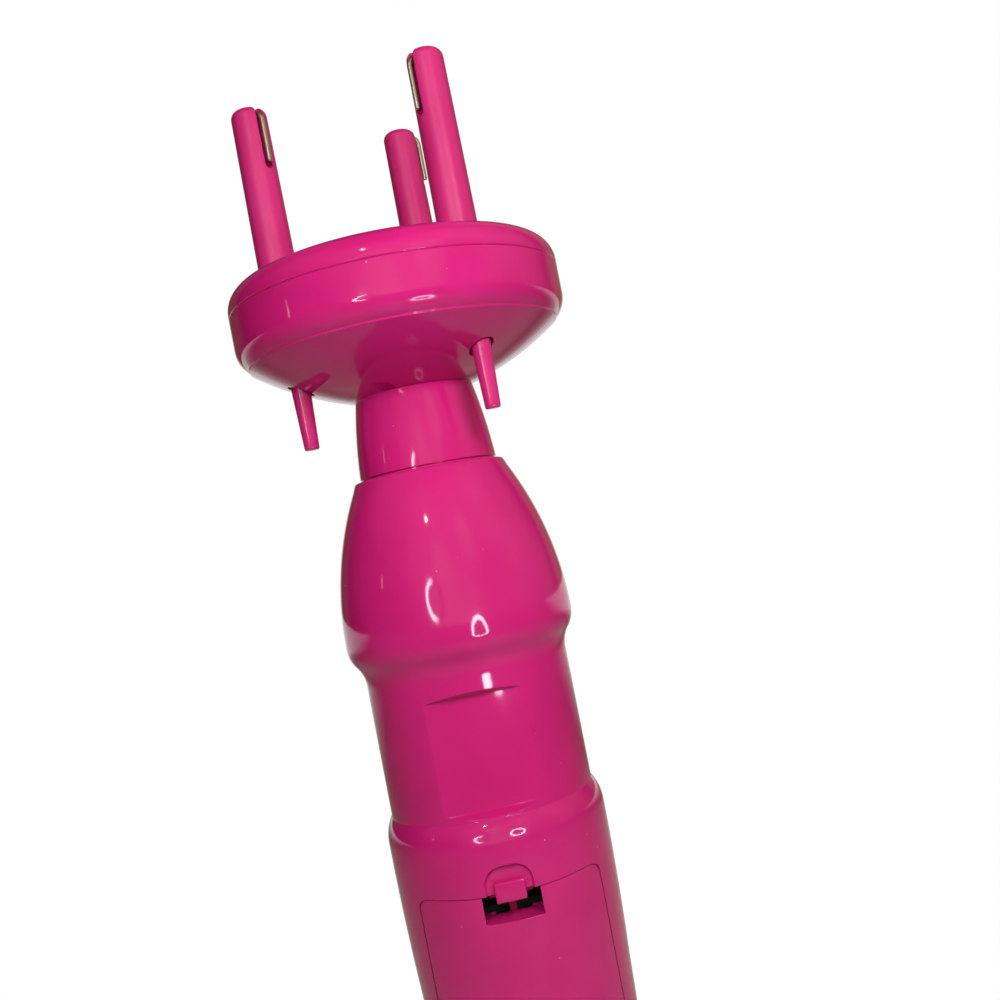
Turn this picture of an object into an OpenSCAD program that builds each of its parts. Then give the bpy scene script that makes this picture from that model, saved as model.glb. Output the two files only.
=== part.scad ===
// Automatic hair braider: a battery handle, a turning head and three spinning, slotted fingers.
// Millimetres. +Z runs up the handle, the origin is the middle of the flat foot, and the battery
// door and the bare panel face -Y. A motor turns the middle shaft through two gear pairs. The shaft
// carries the sun gear, which spins the fingers while the head is held, or takes the head round.

/* [Handle] */
// Radius of the flat-bottomed foot, before its edge is rounded
foot_r = 23.2; // [22.6:0.1:25]
// Rounding of the foot's edge
foot_round = 4; // [3:0.5:6]
// Height of the battery grip, from the foot to its shoulder
grip_h = 94.5; // [94:0.5:115]
// Largest radius of the grip, at its shoulder
grip_r = 26.15; // [26:0.05:30]
// Height of the grip's upper stretch that swells like a barrel
barrel_h = 36.2; // [20:0.1:50]
// Radius of the barrel curve, seen from the side
barrel_arc_r = 670; // [300:10:1500]
// Rounding of the grip's shoulder
shoulder_round = 10.5; // [6:0.5:14]
// Radius of the waist
waist_r = 24.27; // [24:0.01:25]
// Height of the straight waist
waist_h = 34.7; // [34:0.1:45]
// Rounding under the bulge
tuck_round = 7.2; // [6:0.1:9]
// Largest radius of the bulge
bulge_r = 27.48; // [27:0.01:29]
// Radius of the bulge's long curve, seen from the side
bulge_arc_r = 80; // [75:1:100]
// Height of the bulge above its widest line
bulge_h = 37.8; // [37:0.1:39]
// Wall of the housing, the head bowl and the head cover
wall = 2.2; // [1.8:0.1:2.6]

/* [Panel] */
// Width of the bare, flat panel on the waist
panel_w = 22; // [14:0.5:26]
// Height of the panel
panel_h = 25.4; // [15:0.1:30]
// How far the panel's top and bottom walls lean back over its depth
panel_draft = 1.2; // [0:0.1:2]

/* [Battery door] */
// Width of the door
door_w = 41; // [38:0.5:41]
// Height of the door's lower edge
door_z0 = 15.4; // [15:0.1:20]
// Distance from the grip's shoulder down to the door's upper edge
door_drop = 9.9; // [8:0.1:14]
// Rounding of the door's corners
door_corner = 2.5; // [1:0.1:4]
// Width of the notch in the door's upper edge
notch_w = 13; // [11:0.5:16]
// Depth of the notch
notch_h = 5.9; // [5:0.1:8]
// Width of the thumb latch
latch_w = 6.8; // [5:0.1:9]
// Height of the thumb latch's block
latch_h = 4.45; // [3:0.05:5]
// Width of the thumb recess above the door
thumb_w = 10.8; // [9:0.1:13]
// Height of the thumb recess above the door's upper edge
thumb_h = 6.2; // [5:0.1:7]
// Travel of the latch
latch_travel = 2.2; // [1:0.1:2.6]

/* [Batteries] */
// Diameter of a cell
cell_d = 14.2; // [13.5:0.1:14.5]
// Length of a cell with its nub
cell_len = 50.2; // [44:0.1:50.5]
// Room for a contact at each end of a cell
contact_gap = 4; // [3:0.1:5]

/* [Neck and head] */
// Height of the neck
neck_h = 20.05; // [16:0.05:30]
// Radius of the neck where it leaves the handle
neck_r0 = 16.75; // [16:0.05:17]
// Radius of the neck under the head
neck_r1 = 14.33; // [13.8:0.01:16]
// Radius of the head disk
head_r = 40; // [39.5:0.5:48]
// Height from the neck's top to the seam between bowl and cover
bowl_h = 23.8; // [23:0.1:28]
// Radius of the bowl's shallow underside curve
bowl_arc_r = 75; // [60:1:100]
// Rounding of the bowl's lower edge and the cover's upper edge
head_round = 6; // [5:0.5:7]
// Radius of the cover's dome
dome_arc_r = 122; // [100:1:200]

/* [Fingers and hooks] */
// Height of the finger tips above the seam of the head
finger_h = 49.4; // [42:0.1:60]
// Radius of a finger at the cover
finger_r0 = 4.6; // [4.4:0.05:5]
// Radius of a finger at its tip
finger_r1 = 4.25; // [4:0.05:4.6]
// Length of the hair slot in a finger
slot_len = 15.5; // [12:0.5:20]
// Width of the hair slot
slot_w = 2.2; // [1.8:0.1:2.6]
// Thickness of the hook's steel wire
hook_d = 1.2; // [1:0.1:1.5]
// Distance between the hook's two legs, axis to axis
hook_reach = 4.7; // [4.4:0.1:5.2]
// Length of the hook's outer leg
hook_leg = 9.8; // [8:0.1:10.6]
// Radius of a push pin where it leaves the head
pin_r0 = 2.35; // [2:0.05:2.5]
// Radius of a push pin at its lower end
pin_r1 = 1.8; // [1.4:0.05:2.2]
// Length of a push pin below the head's seam
pin_drop = 33.3; // [28:0.1:40]
// Travel of a push pin
pin_travel = 8; // [4:0.5:10]

/* [Gears] */
// Distance from the head's axis to each finger's axis, set by the two gears there
finger_circle = 26.5; // [26.5:0.5:26.5]
// Teeth of the sun gear
sun_teeth = 36; // [36:1:36]
// Teeth of each finger's gear
finger_teeth = 17; // [17:1:17]
// Teeth of the motor pinion and of the compound gear's pinion
pinion_teeth = 10; // [10:1:10]
// Teeth of the compound gear's wheel and of the output gear
wheel_teeth = 40; // [40:1:40]
// Module of the reduction gears
train_module = 0.5; // [0.5:0.05:0.5]
// Radius of the drive shaft
shaft_r = 2.5; // [2:0.1:3]
// Radius of the motor can
motor_r = 12; // [10:0.5:12]
// Length of the motor can
motor_len = 28; // [24:0.5:28]

/* [Controls] */
// Width of a push button
button_w = 18; // [14:0.5:19]
// Height of a push button
button_h = 12; // [10:0.5:12]
// Distance between the two buttons, centre to centre
button_pitch = 15.5; // [15:0.1:16]
// Travel of a button
button_travel = 1; // [0.5:0.1:1]

/* [Fits] */
// Running gap round the neck and the fingers
run_gap = 0.35; // [0.3:0.05:0.5]
// Gap round the battery door
door_gap = 0.25; // [0.2:0.05:0.35]
// Gap round the buttons
button_gap = 0.3; // [0.2:0.05:0.4]
// Radial clearance of a shaft in its bush
bush_gap = 0.06; // [0.04:0.01:0.1]

/* [Hidden] */
$fn = 64;

// Colours
pink = [0.80, 0.10, 0.45];
deep_pink = [0.62, 0.06, 0.34];
steel = [0.75, 0.76, 0.78];
brass = [0.80, 0.66, 0.35];
ivory = [0.90, 0.88, 0.82];
charcoal = [0.18, 0.18, 0.20];
board_green = [0.10, 0.38, 0.20];

big = 400;          // longer than the whole object, for cutting tools
touch = 0.02;       // overlap of two volumes that form one moulding
face_gap = 0.1;     // gap between two stacked faces that move past each other
fit_gap = 0.01;     // gap of a gear's bore pressed on its shaft
screw_gap = 0.15;   // radial gap of a screw in its clearance hole
over = 1;           // how far a cutting tool reaches past what it cuts
rib_t = 1;          // thin ribs of the collar, and how far a plate rests on its rib

// Heights of the handle's outline
shoulder_z = grip_h;
shoulder_a = acos(1 - (grip_r - waist_r) / shoulder_round);
waist_z0 = shoulder_z + shoulder_round * sin(shoulder_a);
waist_z1 = waist_z0 + waist_h;
tuck_a = acos(1 - (bulge_r - waist_r) / tuck_round);
tuck_z = waist_z1 + tuck_round * sin(tuck_a);
band_h = 0.5;       // straight band between the tuck and the long curve
bulge_z = tuck_z + band_h;
handle_h = bulge_z + bulge_h;

// Collar that carries the neck, counted down from the handle's top lip
collar_h = 2.5;                     // depth of the mouth, and thickness of the collar's lower wall
bearing_h = 5.5;
groove_h = 4.5;
flange_gap = 0.4;                   // gap above and below the neck's flange
mouth_r = neck_r0 + run_gap;
mouth_z = handle_h - collar_h;
collar_r = 13.6;                    // clear hole of the collar's ribs
journal_r = 13;                     // neck journal, runs in the bearing ring
bearing_r = 15.6;
bearing_z1 = mouth_z - rib_t;
bearing_z0 = bearing_z1 - bearing_h;
flange_r = 15.5;
flange_room = 0.5;                  // room round the flange
groove_z1 = bearing_z0 - rib_t;
groove_z0 = groove_z1 - groove_h;
cavity_z1 = groove_z0 - collar_h;
neck_z0 = mouth_z + flange_gap;     // lower edge of the neck's skirt, inside the mouth
neck_foot_z = handle_h - 0.7;       // line from which the neck's height is counted

// Battery door and latch
door_z1 = shoulder_z - door_drop;
hinge_y = -(foot_r - 1.6);          // the pin lies this far inside the foot's radius
hinge_z = door_z0 + 1.2;
hinge_pin_r = 0.8;
ear_r = 1.4;
ear_depth = 4;                      // room cut for an ear in front of and behind the pin
opening_drop = 1.5;                 // the opening reaches this far below the door
knuckle_r = 1.3;
knuckle_w = 12;
ear_w = 2;
ear_gap = 0.25;
door_thin = 0.2;                    // how much thinner the door is than the housing
latch_z0 = door_z1 - 1.6;           // lower face of the latch block
latch_back = 1.25;                  // depth of the latch block
plate_t = 1.2;
plate_y = -(grip_r - 8.5);          // rear face of the latch's sliding plate, deep behind the notch
plate_w = 10;
plate_h = 11;
spring_h = 2 * latch_travel + 1.6;
latch_spring_r = [0.7, 1.1];        // inner and outer radius of the latch's spring
latch_out = 0.15;                   // how far the latch stands proud of the grip
rail_t = 1.2;
rail_gap = 0.3;                     // play of the sliding plate in its rails
rail_h = 13;
rail_y = -(grip_r - wall + 0.35);   // the rails start inside the door's wall
lip_t = 0.6;                        // lips that hold the sliding plate
lip_w = 2.3;
lip_gap = 0.2;
lip_start = 4;
thumb_floor_r = grip_r - 1.35;
panel_mid = 14.3;                   // height of the panel's middle above the waist's lower edge
panel_margin = 1.5;                 // how far the plate behind the panel reaches past it
panel_wall = 1.5;                   // thickness left behind the panel
door_skin = 1;                      // depth behind which the door's upper edge is cut back
edge_cut = 0.2;                     // by this much, so that it swings clear of the housing

// Battery bay
tray_r = 20.2;
tray_wall = 2;
tray_z0 = door_z0 + 1.1;
cell_pitch = cell_d + 0.6;
cell_z0 = tray_z0 + tray_wall + contact_gap;
cell_z1 = cell_z0 + cell_len;
tray_z1 = cell_z1 + contact_gap + tray_wall;
nub_h = 1;
nub_r = 2.7;
contact_t = 0.5;
contact_r = cell_d / 2 - 2.2;       // wide end of a contact spring
contact_wire = 0.7;
contact_taper = 1.4;                // how much a contact spring narrows
contact_end = cell_pitch / 2 + contact_r;
pocket_gap = 1;                     // play of the cells in their pocket
tray_open_y = -13;                  // the tray is open in front of this plane
seat_r = 17;                        // inner radius of the ribs that hold the tray
seat_h = 2;

// Gearbox, hung on a rib at the top of the waist
plate_r0 = waist_r - wall - 1;      // lower plate
gear_plate_t = 2.5;
base_z0 = waist_z1 - 1.2;
base_z1 = base_z0 + gear_plate_t;
train_a = (pinion_teeth + wheel_teeth) * train_module / 2;
motor_pinion_z0 = base_z1 + 1;
motor_pinion_h = 5;
wheel_z0 = base_z1 + 2;
wheel_t = 3;
wheel_boss_r = 2.4;
pinion_over = 0.8;                  // how far the small pinion passes the output gear
output_z0 = wheel_z0 + wheel_t + 2.5;
output_t = 4;
output_hub_r = 4.4;
shaft_z0 = output_z0 + 1.2;         // floor of the output gear's blind bore
top_z0 = output_z0 + output_t + 3;
top_z1 = top_z0 + gear_plate_t;
plate_r1 = bulge_r - wall - 2.3;    // upper plate
pillar_r = 2.2;
pillar_circle = 19;
pillar_screw_r = 0.9;
pillar_screw_deep = 6;
axle_r = 1;
gear_bush_r = 4.5;
bush_flange_r = 5.5;
bush_z0 = top_z0 - 1.5;
bush_z1 = top_z1 + 3.5;
motor_z1 = base_z0;
motor_z0 = motor_z1 - motor_len;
end_cap_h = 2.5;
motor_flat = motor_r - 2.6;         // half the can's width across its flats
motor_nose_r = 3;
motor_nose_h = 1.8;
motor_shaft_r = 1;
motor_shaft_z0 = motor_z0 + 2.1;
motor_screw_x = 8;
motor_screw_r = 0.95;
motor_screw_deep = 2.5;
tag_x = 5;                          // the motor's two terminals
tag_h = 1.5;
tag_y = [0.7, 1.3];
wire_r = 0.6;

// Circuit board behind the motor, under the buttons
board_t = 1.6;
board_y = motor_r + 1.6;
board_w = 24;
board_z1 = base_z0 - 1;
board_z0 = waist_z0 - 3.5;
post_r = 0.9;
post_z = [board_z0 + 5, board_z1 - 3];
switch_half = 3;
switch_y = board_y + board_t + 3.5;
switch_bore = 2.5;
nub_reach = 0.6 + button_travel;
key_r = 1.6;                        // nub of a switch
key_gap = 0.2;
stem_y = switch_y + nub_reach;
stem_r = 2.2;
button_z = waist_z1 - 18.5;         // height of the line midway between the buttons
button_out = 0.8;                   // how far a button stands proud of the waist
button_t = 0.8;                     // depth that joins the button's cap to its flange
flange_t = 1.2;
flange_over = 2;                    // how much wider the flange is than the cap
button_corner = 3.7;
window_corner = 4;

// Neck and head
neck_z1 = neck_foot_z + neck_h;
neck_bulge = 0.42;                  // sagitta of the neck's slightly swollen side
seam_z = neck_z1 + bowl_h;
bowl_x = -6.1;                      // centre of the underside's curve, past the axis
bowl_c = [bowl_x, neck_z1 + sqrt(pow(bowl_arc_r, 2) - pow(neck_r1 - bowl_x, 2))];
web_z0 = neck_z1 - 3;               // web inside the neck's top, carries the shaft's upper bush
spigot_r = neck_r1 - 2;
web_z1 = neck_z1 + 1.2;             // the neck's spigot sits in a recess under the bowl's hub
hub_z1 = neck_z1 + 3;               // top of the bowl's hub
hub_screw_circle = 7.6;
hub_screw_r = 1.2;
bush_r = 4.5;
hub_gap = 0.05;                     // gap round the neck's spigot
corner_x = head_r - head_round;
corner_a = 36;                      // where the underside curve meets the edge rounding
corner_z = bowl_c[1] - (bowl_arc_r - head_round) * cos(corner_a) + 0.03;
skirt_h = 4;                        // the cover's skirt inside the bowl
rim_h = 2.5;
lid_inset = 0.06;                   // the cover's edge lies this far inside the bowl's
cover_z = seam_z + 0.9;             // centre height of the cover's edge rounding
dome_a = asin((corner_x) / (dome_arc_r - head_round));
dome_z = cover_z + head_round * cos(dome_a) - dome_arc_r * cos(dome_a);
gear_z0 = seam_z - 10.6;
gear_t = 5;
boss_r = 6.4;
boss_gap = 0.5;                     // gap between a bowl boss and its finger's gear
boss_z0 = neck_z1 + 7.4;
finger_z0 = boss_z0 + 0.5;
clip_z = gear_z0 + gear_t + 0.5;
clip_t = 0.7;
clip_deep = 0.5;                    // depth of the clip's groove in the shaft
clip_out = 1.6;
shaft_z1 = gear_z0 + gear_t + 2.4;
sun_hub_r = 5;
sun_hub_h = 2;
sun_hole_r = 3.2;
sun_hole_circle = 11;
tip_z = seam_z + finger_h;
tip_round = 2;
straight_h = 8;                     // straight part of a finger above the seam
finger_collar_r = 6.5;
finger_collar_t = 2;
bore_r = 2.75;                      // lower bore of a finger, holds the spring
rod_r = 1.25;
rod_bore_r = 1.6;
spring_seat_z = tip_z - slot_len - 12.5;
collar_z0 = gear_z0 - 0.5;
collar_z1 = gear_z0 + 0.5;
collar_gap = 0.15;
pin_round = 0.6;
hook_deep = 6;                      // length of the hook's inner leg inside the plunger
rod_z1 = tip_z - slot_len - pin_travel - 0.5;
return_spring_r = [1.55, 2.35];     // inner and outer radius of a finger's spring
bend_z = tip_z - 1.8 - hook_reach / 2;
pin_z0 = seam_z - pin_drop;
pin_hole_r = 3;

// Rest angles: each finger's place round the head, and where its slot faces
finger_at = [-50.4, 69.6, 189.6];
slot_at = [-145, -2, -44];
compound_at = -90;

// Shallow dimple that the mould's gate leaves under the bowl
dimple_at = 16;
dimple_turn = -114.8;
dimple_depth = 0.5;
dimple_ball_r = 9.2;

// Screws
screw_z = [8, grip_h - 4, cavity_z1 - 4];
screw_x = [12, 15, 15];
screw_boss_r = 3.2;
screw_r = 1.25;
screw_head_r = 2.4;
screw_head_h = 1.8;
screw_head_y = 9;
screw_tip_y = -6;
screw_slot = [2.88, 1.6, 0.5];

// ---- Shape helpers ----

// Points on an arc about c, from angle a0 to a1
function arc(c, r, a0, a1, n = 8) =
    [for (i = [0:n]) c + r * [cos(a0 + (a1 - a0) * i / n), sin(a0 + (a1 - a0) * i / n)]];

function reversed(list) = [for (i = [len(list) - 1:-1:0]) list[i]];

// Rectangle with rounded corners, centred on the origin
function rounded(w, h, r) = concat(
    arc([w / 2 - r, h / 2 - r], r, 0, 90, 5), arc([r - w / 2, h / 2 - r], r, 90, 180, 5),
    arc([r - w / 2, r - h / 2], r, 180, 270, 5), arc([w / 2 - r, r - h / 2], r, 270, 360, 5));

// The handle's side outline moved in by w, from the foot up to height top
function handle_outline(w, top) = concat(
    arc([foot_r - foot_round, foot_round], foot_round - w, -90, 0, 5),
    arc([grip_r - barrel_arc_r, shoulder_z], barrel_arc_r - w, -asin(barrel_h / barrel_arc_r), 0, 4),
    arc([grip_r - shoulder_round, shoulder_z], shoulder_round - w, 4,
        acos((waist_r - grip_r + shoulder_round - w) / (shoulder_round - w)), 6),
    arc([bulge_r - tuck_round, tuck_z], tuck_round - w,
        -acos((waist_r - bulge_r + tuck_round - w) / (tuck_round - w)), 0, 8),
    arc([bulge_r - bulge_arc_r, bulge_z], bulge_arc_r - w, 0,
        asin((top - bulge_z) / (bulge_arc_r - w)), 12));

// Solid of the handle's outline moved in by w
module handle_solid(w) {
    rotate_extrude() polygon(concat(handle_outline(w, handle_h), [[0, handle_h], [0, w]]));
}

// A prism along Y over the outline given in X and Z, from y0 to y1
module along_y(points, y0, y1) {
    translate([0, y1, 0]) rotate([90, 0, 0]) linear_extrude(y1 - y0) polygon(points);
}

// A round bar along Y
module bar_y(x, z, r, y0, y1) {
    translate([x, y1, z]) rotate([90, 0, 0]) cylinder(r = r, h = y1 - y0);
}

// A round bar along X, centred
module bar_x(y, z, r, w) {
    translate([-w / 2, y, z]) rotate([0, 90, 0]) cylinder(r = r, h = w);
}

module ring(z, h, r_in, r_out) {
    translate([0, 0, z]) difference() {
        cylinder(r = r_out, h = h);
        translate([0, 0, -1]) cylinder(r = r_in, h = h + 2);
    }
}

module box(x, y, z) {
    translate([x[0], y[0], z[0]]) cube([x[1] - x[0], y[1] - y[0], z[1] - z[0]]);
}

// Half space in front of or behind the parting plane
module front_half() { translate([-big / 2, -big, -1]) cube([big, big, big]); }
module rear_half() { translate([-big / 2, 0, -1]) cube([big, big, big]); }

// ---- Gear outline ----

function involute(a) = tan(a) - a * PI / 180;

// Half the tooth's angle at radius r
function tooth_half(r, base_r, half, pa) =
    half + (involute(pa) - (r > base_r ? involute(acos(base_r / r)) : 0)) * 180 / PI;

// Outline of a spur gear with a tooth centred on +X
function gear_points(teeth, m, pa, addendum, dedendum, backlash) =
    let (pitch_r = teeth * m / 2, base_r = pitch_r * cos(pa), tip_r = pitch_r + addendum * m,
         root_r = pitch_r - dedendum * m, half = 90 / teeth - backlash / pitch_r * 45 / PI,
         start_r = max(base_r, root_r),
         flank = [for (i = [0:3]) start_r + (tip_r - start_r) * i / 3],
         radii = concat(root_r < base_r ? [root_r] : [], flank))
    [for (t = [0:teeth - 1], side = [-1, 1], i = [0:len(radii) - 1])
        let (r = side < 0 ? radii[i] : radii[len(radii) - 1 - i],
             a = t * 360 / teeth + side * tooth_half(r, base_r, half, pa))
        r * [cos(a), sin(a)]];

// Turn of a driven gear that meshes with a gear turned by phase, in direction dir from it
function mesh_turn(teeth, phase, driven_teeth, dir) =
    dir + 180 - (0.5 - (dir - phase) * teeth / 360) * 360 / driven_teeth;

module train_gear(teeth, h) {
    linear_extrude(h) polygon(gear_points(teeth, train_module, 25, 0.88, 1.2, 0.08));
}

module head_gear(teeth, h) {
    linear_extrude(h) polygon(gear_points(teeth, 1, 20, 0.95, 1.25, 0.12));
}

// ---- Housing ----

// Section of both housing halves, with the collar that carries the neck
module shell_section() {
    polygon(concat([[0, 0]], handle_outline(0, handle_h),
        [[mouth_r, handle_h], [mouth_r, mouth_z], [collar_r, mouth_z], [collar_r, bearing_z1],
         [bearing_r, bearing_z1], [bearing_r, bearing_z0], [collar_r, bearing_z0],
         [collar_r, groove_z1], [flange_r + flange_room, groove_z1], [flange_r + flange_room, groove_z0],
         [collar_r, groove_z0], [collar_r, cavity_z1]],
        reversed(handle_outline(wall, cavity_z1)), [[0, wall]]));
}

// Ribs inside the housing: seats of the battery tray and of the two gearbox plates
module seat_ribs() {
    ring(tray_z0 - seat_h, seat_h, seat_r, foot_r - wall / 2);
    ring(tray_z1, seat_h, seat_r, grip_r - wall);
    ring(base_z0 - seat_h, seat_h, plate_r0 - rib_t, waist_r - wall / 2);
    ring(top_z1, seat_h, plate_r1 - rib_t, bulge_r - wall);
}

module screw_bosses() {
    for (i = [0:2], side = [-1, 1])
        bar_y(side * screw_x[i], screw_z[i], screw_boss_r, -big / 8, big / 8);
}

// One housing half: section, ribs and bosses on its own side of the parting plane
module shell_half(turn) {
    rotate([0, 0, turn]) rotate_extrude(angle = 180) shell_section();
    intersection() {
        union() {
            seat_ribs();
            screw_bosses();
        }
        handle_solid(wall / 2);
        if (turn == 0) rear_half(); else front_half();
    }
}

// Opening of the battery door
module door_opening() {
    w = door_w + 2 * door_gap;
    z0 = door_z0 - opening_drop;
    z1 = door_z1 + door_gap;
    translate([0, 0, (z0 + z1) / 2]) along_y(rounded(w, z1 - z0, door_corner), -big / 4, -5);
}

// Thumb recess above the latch
module thumb_recess() {
    low = 4;
    intersection() {
        translate([0, 0, door_z1 + (thumb_h - low) / 2])
            along_y(rounded(thumb_w, thumb_h + low, thumb_w / 2.4), -big / 4, 0);
        ring(door_z1 - over, thumb_h + low, thumb_floor_r, grip_r + 2 * over);
    }
}

// Cutter of the bare panel: a flat floor with leaning top and bottom walls
module panel_cut() {
    floor_y = sqrt(pow(waist_r, 2) - pow(panel_w / 2, 2)) - 0.05;
    rise = panel_draft / (waist_r - floor_y);
    deep = 4;
    mid = waist_z0 + panel_mid;
    rotate([90, 0, 90]) linear_extrude(panel_w, center = true)
        polygon([[-floor_y, mid - panel_h / 2], [-floor_y, mid + panel_h / 2],
                 [-floor_y - deep, mid + panel_h / 2 + deep * rise],
                 [-floor_y - deep, mid - panel_h / 2 - deep * rise]]);
}

// Plate behind the panel, which keeps the wall thick where the flat is cut
module panel_back() {
    floor_y = sqrt(pow(waist_r, 2) - pow(panel_w / 2, 2));
    mid = waist_z0 + panel_mid;
    intersection() {
        box([-panel_w / 2 - panel_margin, panel_w / 2 + panel_margin], [-waist_r, panel_wall - floor_y],
            [mid - panel_h / 2 - panel_margin, mid + panel_h / 2 + panel_margin]);
        handle_solid(wall / 2);
    }
}

module front_shell() {
    color(pink) difference() {
        union() {
            shell_half(180);
            panel_back();
        }
        panel_cut();
        thumb_recess();
        door_opening();
        for (i = [0:2], side = [-1, 1])
            bar_y(side * screw_x[i], screw_z[i], screw_r, screw_tip_y - over, over);
    }
    color(pink) hinge_ears();
}

// Two ears on the door opening's lower lip, which hold the hinge pin
module hinge_ears() {
    for (side = [-1, 1]) {
        x = side * (knuckle_w / 2 + ear_gap + ear_w / 2);
        difference() {
            intersection() {
                union() {
                    translate([x, 0, 0]) bar_x(hinge_y, hinge_z, ear_r, ear_w);
                    box([x - ear_w / 2, x + ear_w / 2], [hinge_y - ear_r, hinge_y + ear_r],
                        [door_z0 - opening_drop - over, hinge_z]);
                }
                handle_solid(latch_out);
            }
            translate([x, 0, 0]) bar_x(hinge_y, hinge_z, hinge_pin_r, ear_w + over);
        }
    }
}

module rear_shell() {
    color(pink) {
        difference() {
            shell_half(0);
            for (i = [0:2], side = [-1, 1]) {
                bar_y(side * screw_x[i], screw_z[i], screw_r + screw_gap, -over, big / 8);
                bar_y(side * screw_x[i], screw_z[i], screw_head_r + flange_gap, screw_head_y, big / 8);
            }
            for (k = [-1, 1]) translate([0, 0, button_z + k * button_pitch / 2])
                along_y(rounded(button_w + 2 * button_gap, button_h + 2 * button_gap, window_corner),
                    switch_y, big / 8);
        }
        // Posts that the circuit board rests on
        for (side = [-1, 1], z = post_z)
            bar_y(side * (board_w / 2 - post_r + button_gap), z, post_r, board_y + board_t,
                sqrt(pow(waist_r - wall / 2, 2) - pow(board_w / 2, 2)));
    }
}

module shell_screws() {
    color(steel) for (i = [0:2], side = [-1, 1]) {
        bar_y(side * screw_x[i], screw_z[i], screw_r, screw_tip_y, screw_head_y + touch);
        difference() {
            bar_y(side * screw_x[i], screw_z[i], screw_head_r, screw_head_y, screw_head_y + screw_head_h);
            for (turn = [0, 90]) translate([side * screw_x[i], screw_head_y + screw_head_h, screw_z[i]])
                rotate([0, turn, 0]) cube(screw_slot, center = true);
        }
    }
}

// ---- Battery door ----

// Wall section that the door is cut from
module door_section() {
    polygon(concat(handle_outline(0, mouth_z), reversed(handle_outline(wall - door_thin, mouth_z))));
}

module battery_door() {
    color(pink) difference() {
        union() {
            intersection() {
                rotate([0, 0, 180]) rotate_extrude(angle = 180) door_section();
                translate([0, 0, (door_z0 + door_z1) / 2])
                    along_y(rounded(door_w, door_z1 - door_z0, door_corner), -big / 4, -over);
            }
            bar_x(hinge_y, hinge_z, knuckle_r, knuckle_w);
            latch_rails();
        }
        bar_x(hinge_y, hinge_z, hinge_pin_r + bush_gap, knuckle_w + 2);
        for (side = [-1, 1]) {
            x = side * (knuckle_w / 2 + ear_gap + ear_w / 2);
            box([x - ear_w / 2 - ear_gap, x + ear_w / 2 + ear_gap],
                [hinge_y - ear_depth, hinge_y + ear_depth], [door_z0 - over, hinge_z + ear_w]);
        }
        box([-notch_w / 2, notch_w / 2], [-big / 4, plate_y + over], [door_z1 - notch_h, door_z1 + over]);
        ring(door_z1 - edge_cut, edge_cut + over, tray_r, grip_r - door_skin);
    }
}

// Rails and spring seat on the door's inner face, in which the latch slides
module latch_rails() {
    z0 = latch_z0 - plate_h - spring_h;
    lip_y = plate_y + lip_gap;
    outer = plate_w / 2 + rail_gap + rail_t;
    for (side = [-1, 1]) {
        rail = side * (outer - rail_t / 2);
        lip = side * (outer - lip_w / 2);
        box([rail - rail_t / 2, rail + rail_t / 2], [rail_y + rail_gap, lip_y + touch], [z0, z0 + rail_h]);
        box([lip - lip_w / 2, lip + lip_w / 2], [lip_y, lip_y + lip_t], [z0 + lip_start, z0 + rail_h]);
    }
    box([-outer, outer], [rail_y, plate_y + rail_gap], [z0 - rail_t, z0]);
    // Shelf that carries the notch's lower edge back to the sliding plate
    box([-notch_w / 2, notch_w / 2], [rail_y, plate_y - plate_t - rail_gap],
        [door_z1 - notch_h - rail_t, door_z1 - notch_h]);
}

module door_pin() {
    color(steel) bar_x(hinge_y, hinge_z, hinge_pin_r, knuckle_w + 2 * (ear_gap + ear_w));
}

// Thumb latch: a block in the thumb recess, a stem under the housing's edge and a sliding plate.
// The plate ends level with the door's edge, so the door can be swung without moving the latch.
module door_latch() {
    plate_z1 = latch_z0 + touch;
    front_y = -(grip_r + latch_out);
    color(pink) {
        box([-latch_w / 2, latch_w / 2], [front_y, front_y + latch_back],
            [latch_z0, latch_z0 + latch_h]);
        box([-latch_w / 2, latch_w / 2], [front_y + latch_back - touch, plate_y],
            [latch_z0, door_z1 - lip_gap]);
        box([-plate_w / 2, plate_w / 2], [plate_y - plate_t, plate_y], [plate_z1 - plate_h, plate_z1]);
    }
}

module latch_spring() {
    z1 = latch_z0 + touch - plate_h;
    color(steel) translate([0, plate_y - plate_t / 2, 0])
        ring(latch_z0 - plate_h - spring_h, z1 - latch_z0 + plate_h + spring_h, latch_spring_r[0],
            latch_spring_r[1]);
}

// ---- Batteries ----

function cell_xy(i) = cell_pitch / 2 * [i % 2 == 0 ? -1 : 1, i < 2 ? -1 : 1];
function cell_up(i) = i == 0 || i == 3;

// Cradle of the four cells, open towards the door
module battery_tray() {
    pocket = cell_pitch + cell_d + pocket_gap;
    color(charcoal) difference() {
        translate([0, 0, tray_z0]) cylinder(r = tray_r, h = tray_z1 - tray_z0);
        translate([0, -big / 8, 0]) box([-pocket / 2, pocket / 2], [0, big / 8],
            [tray_z0 + tray_wall, tray_z1 - tray_wall]);
        translate([0, 0, tray_z0 + tray_wall]) linear_extrude(tray_z1 - tray_z0 - 2 * tray_wall)
            polygon(rounded(pocket, pocket, cell_d / 2));
        box([-big / 8, big / 8], [-big / 8, tray_open_y], [tray_z0 - over, tray_z1 + over]);
    }
}

module battery_cells() {
    for (i = [0:3]) translate([cell_xy(i)[0], cell_xy(i)[1], 0]) {
        color(charcoal) translate([0, 0, cell_z0 + (cell_up(i) ? 0 : nub_h)])
            cylinder(d = cell_d, h = cell_len - nub_h);
        color(steel) translate([0, 0, cell_up(i) ? cell_z1 - nub_h - touch : cell_z0])
            cylinder(r = nub_r, h = nub_h + touch);
    }
}

// Height of the contact plate's face at a cell's lower and upper end
plate_z = [tray_z0 + tray_wall + contact_t, tray_z1 - tray_wall - contact_t];

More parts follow.
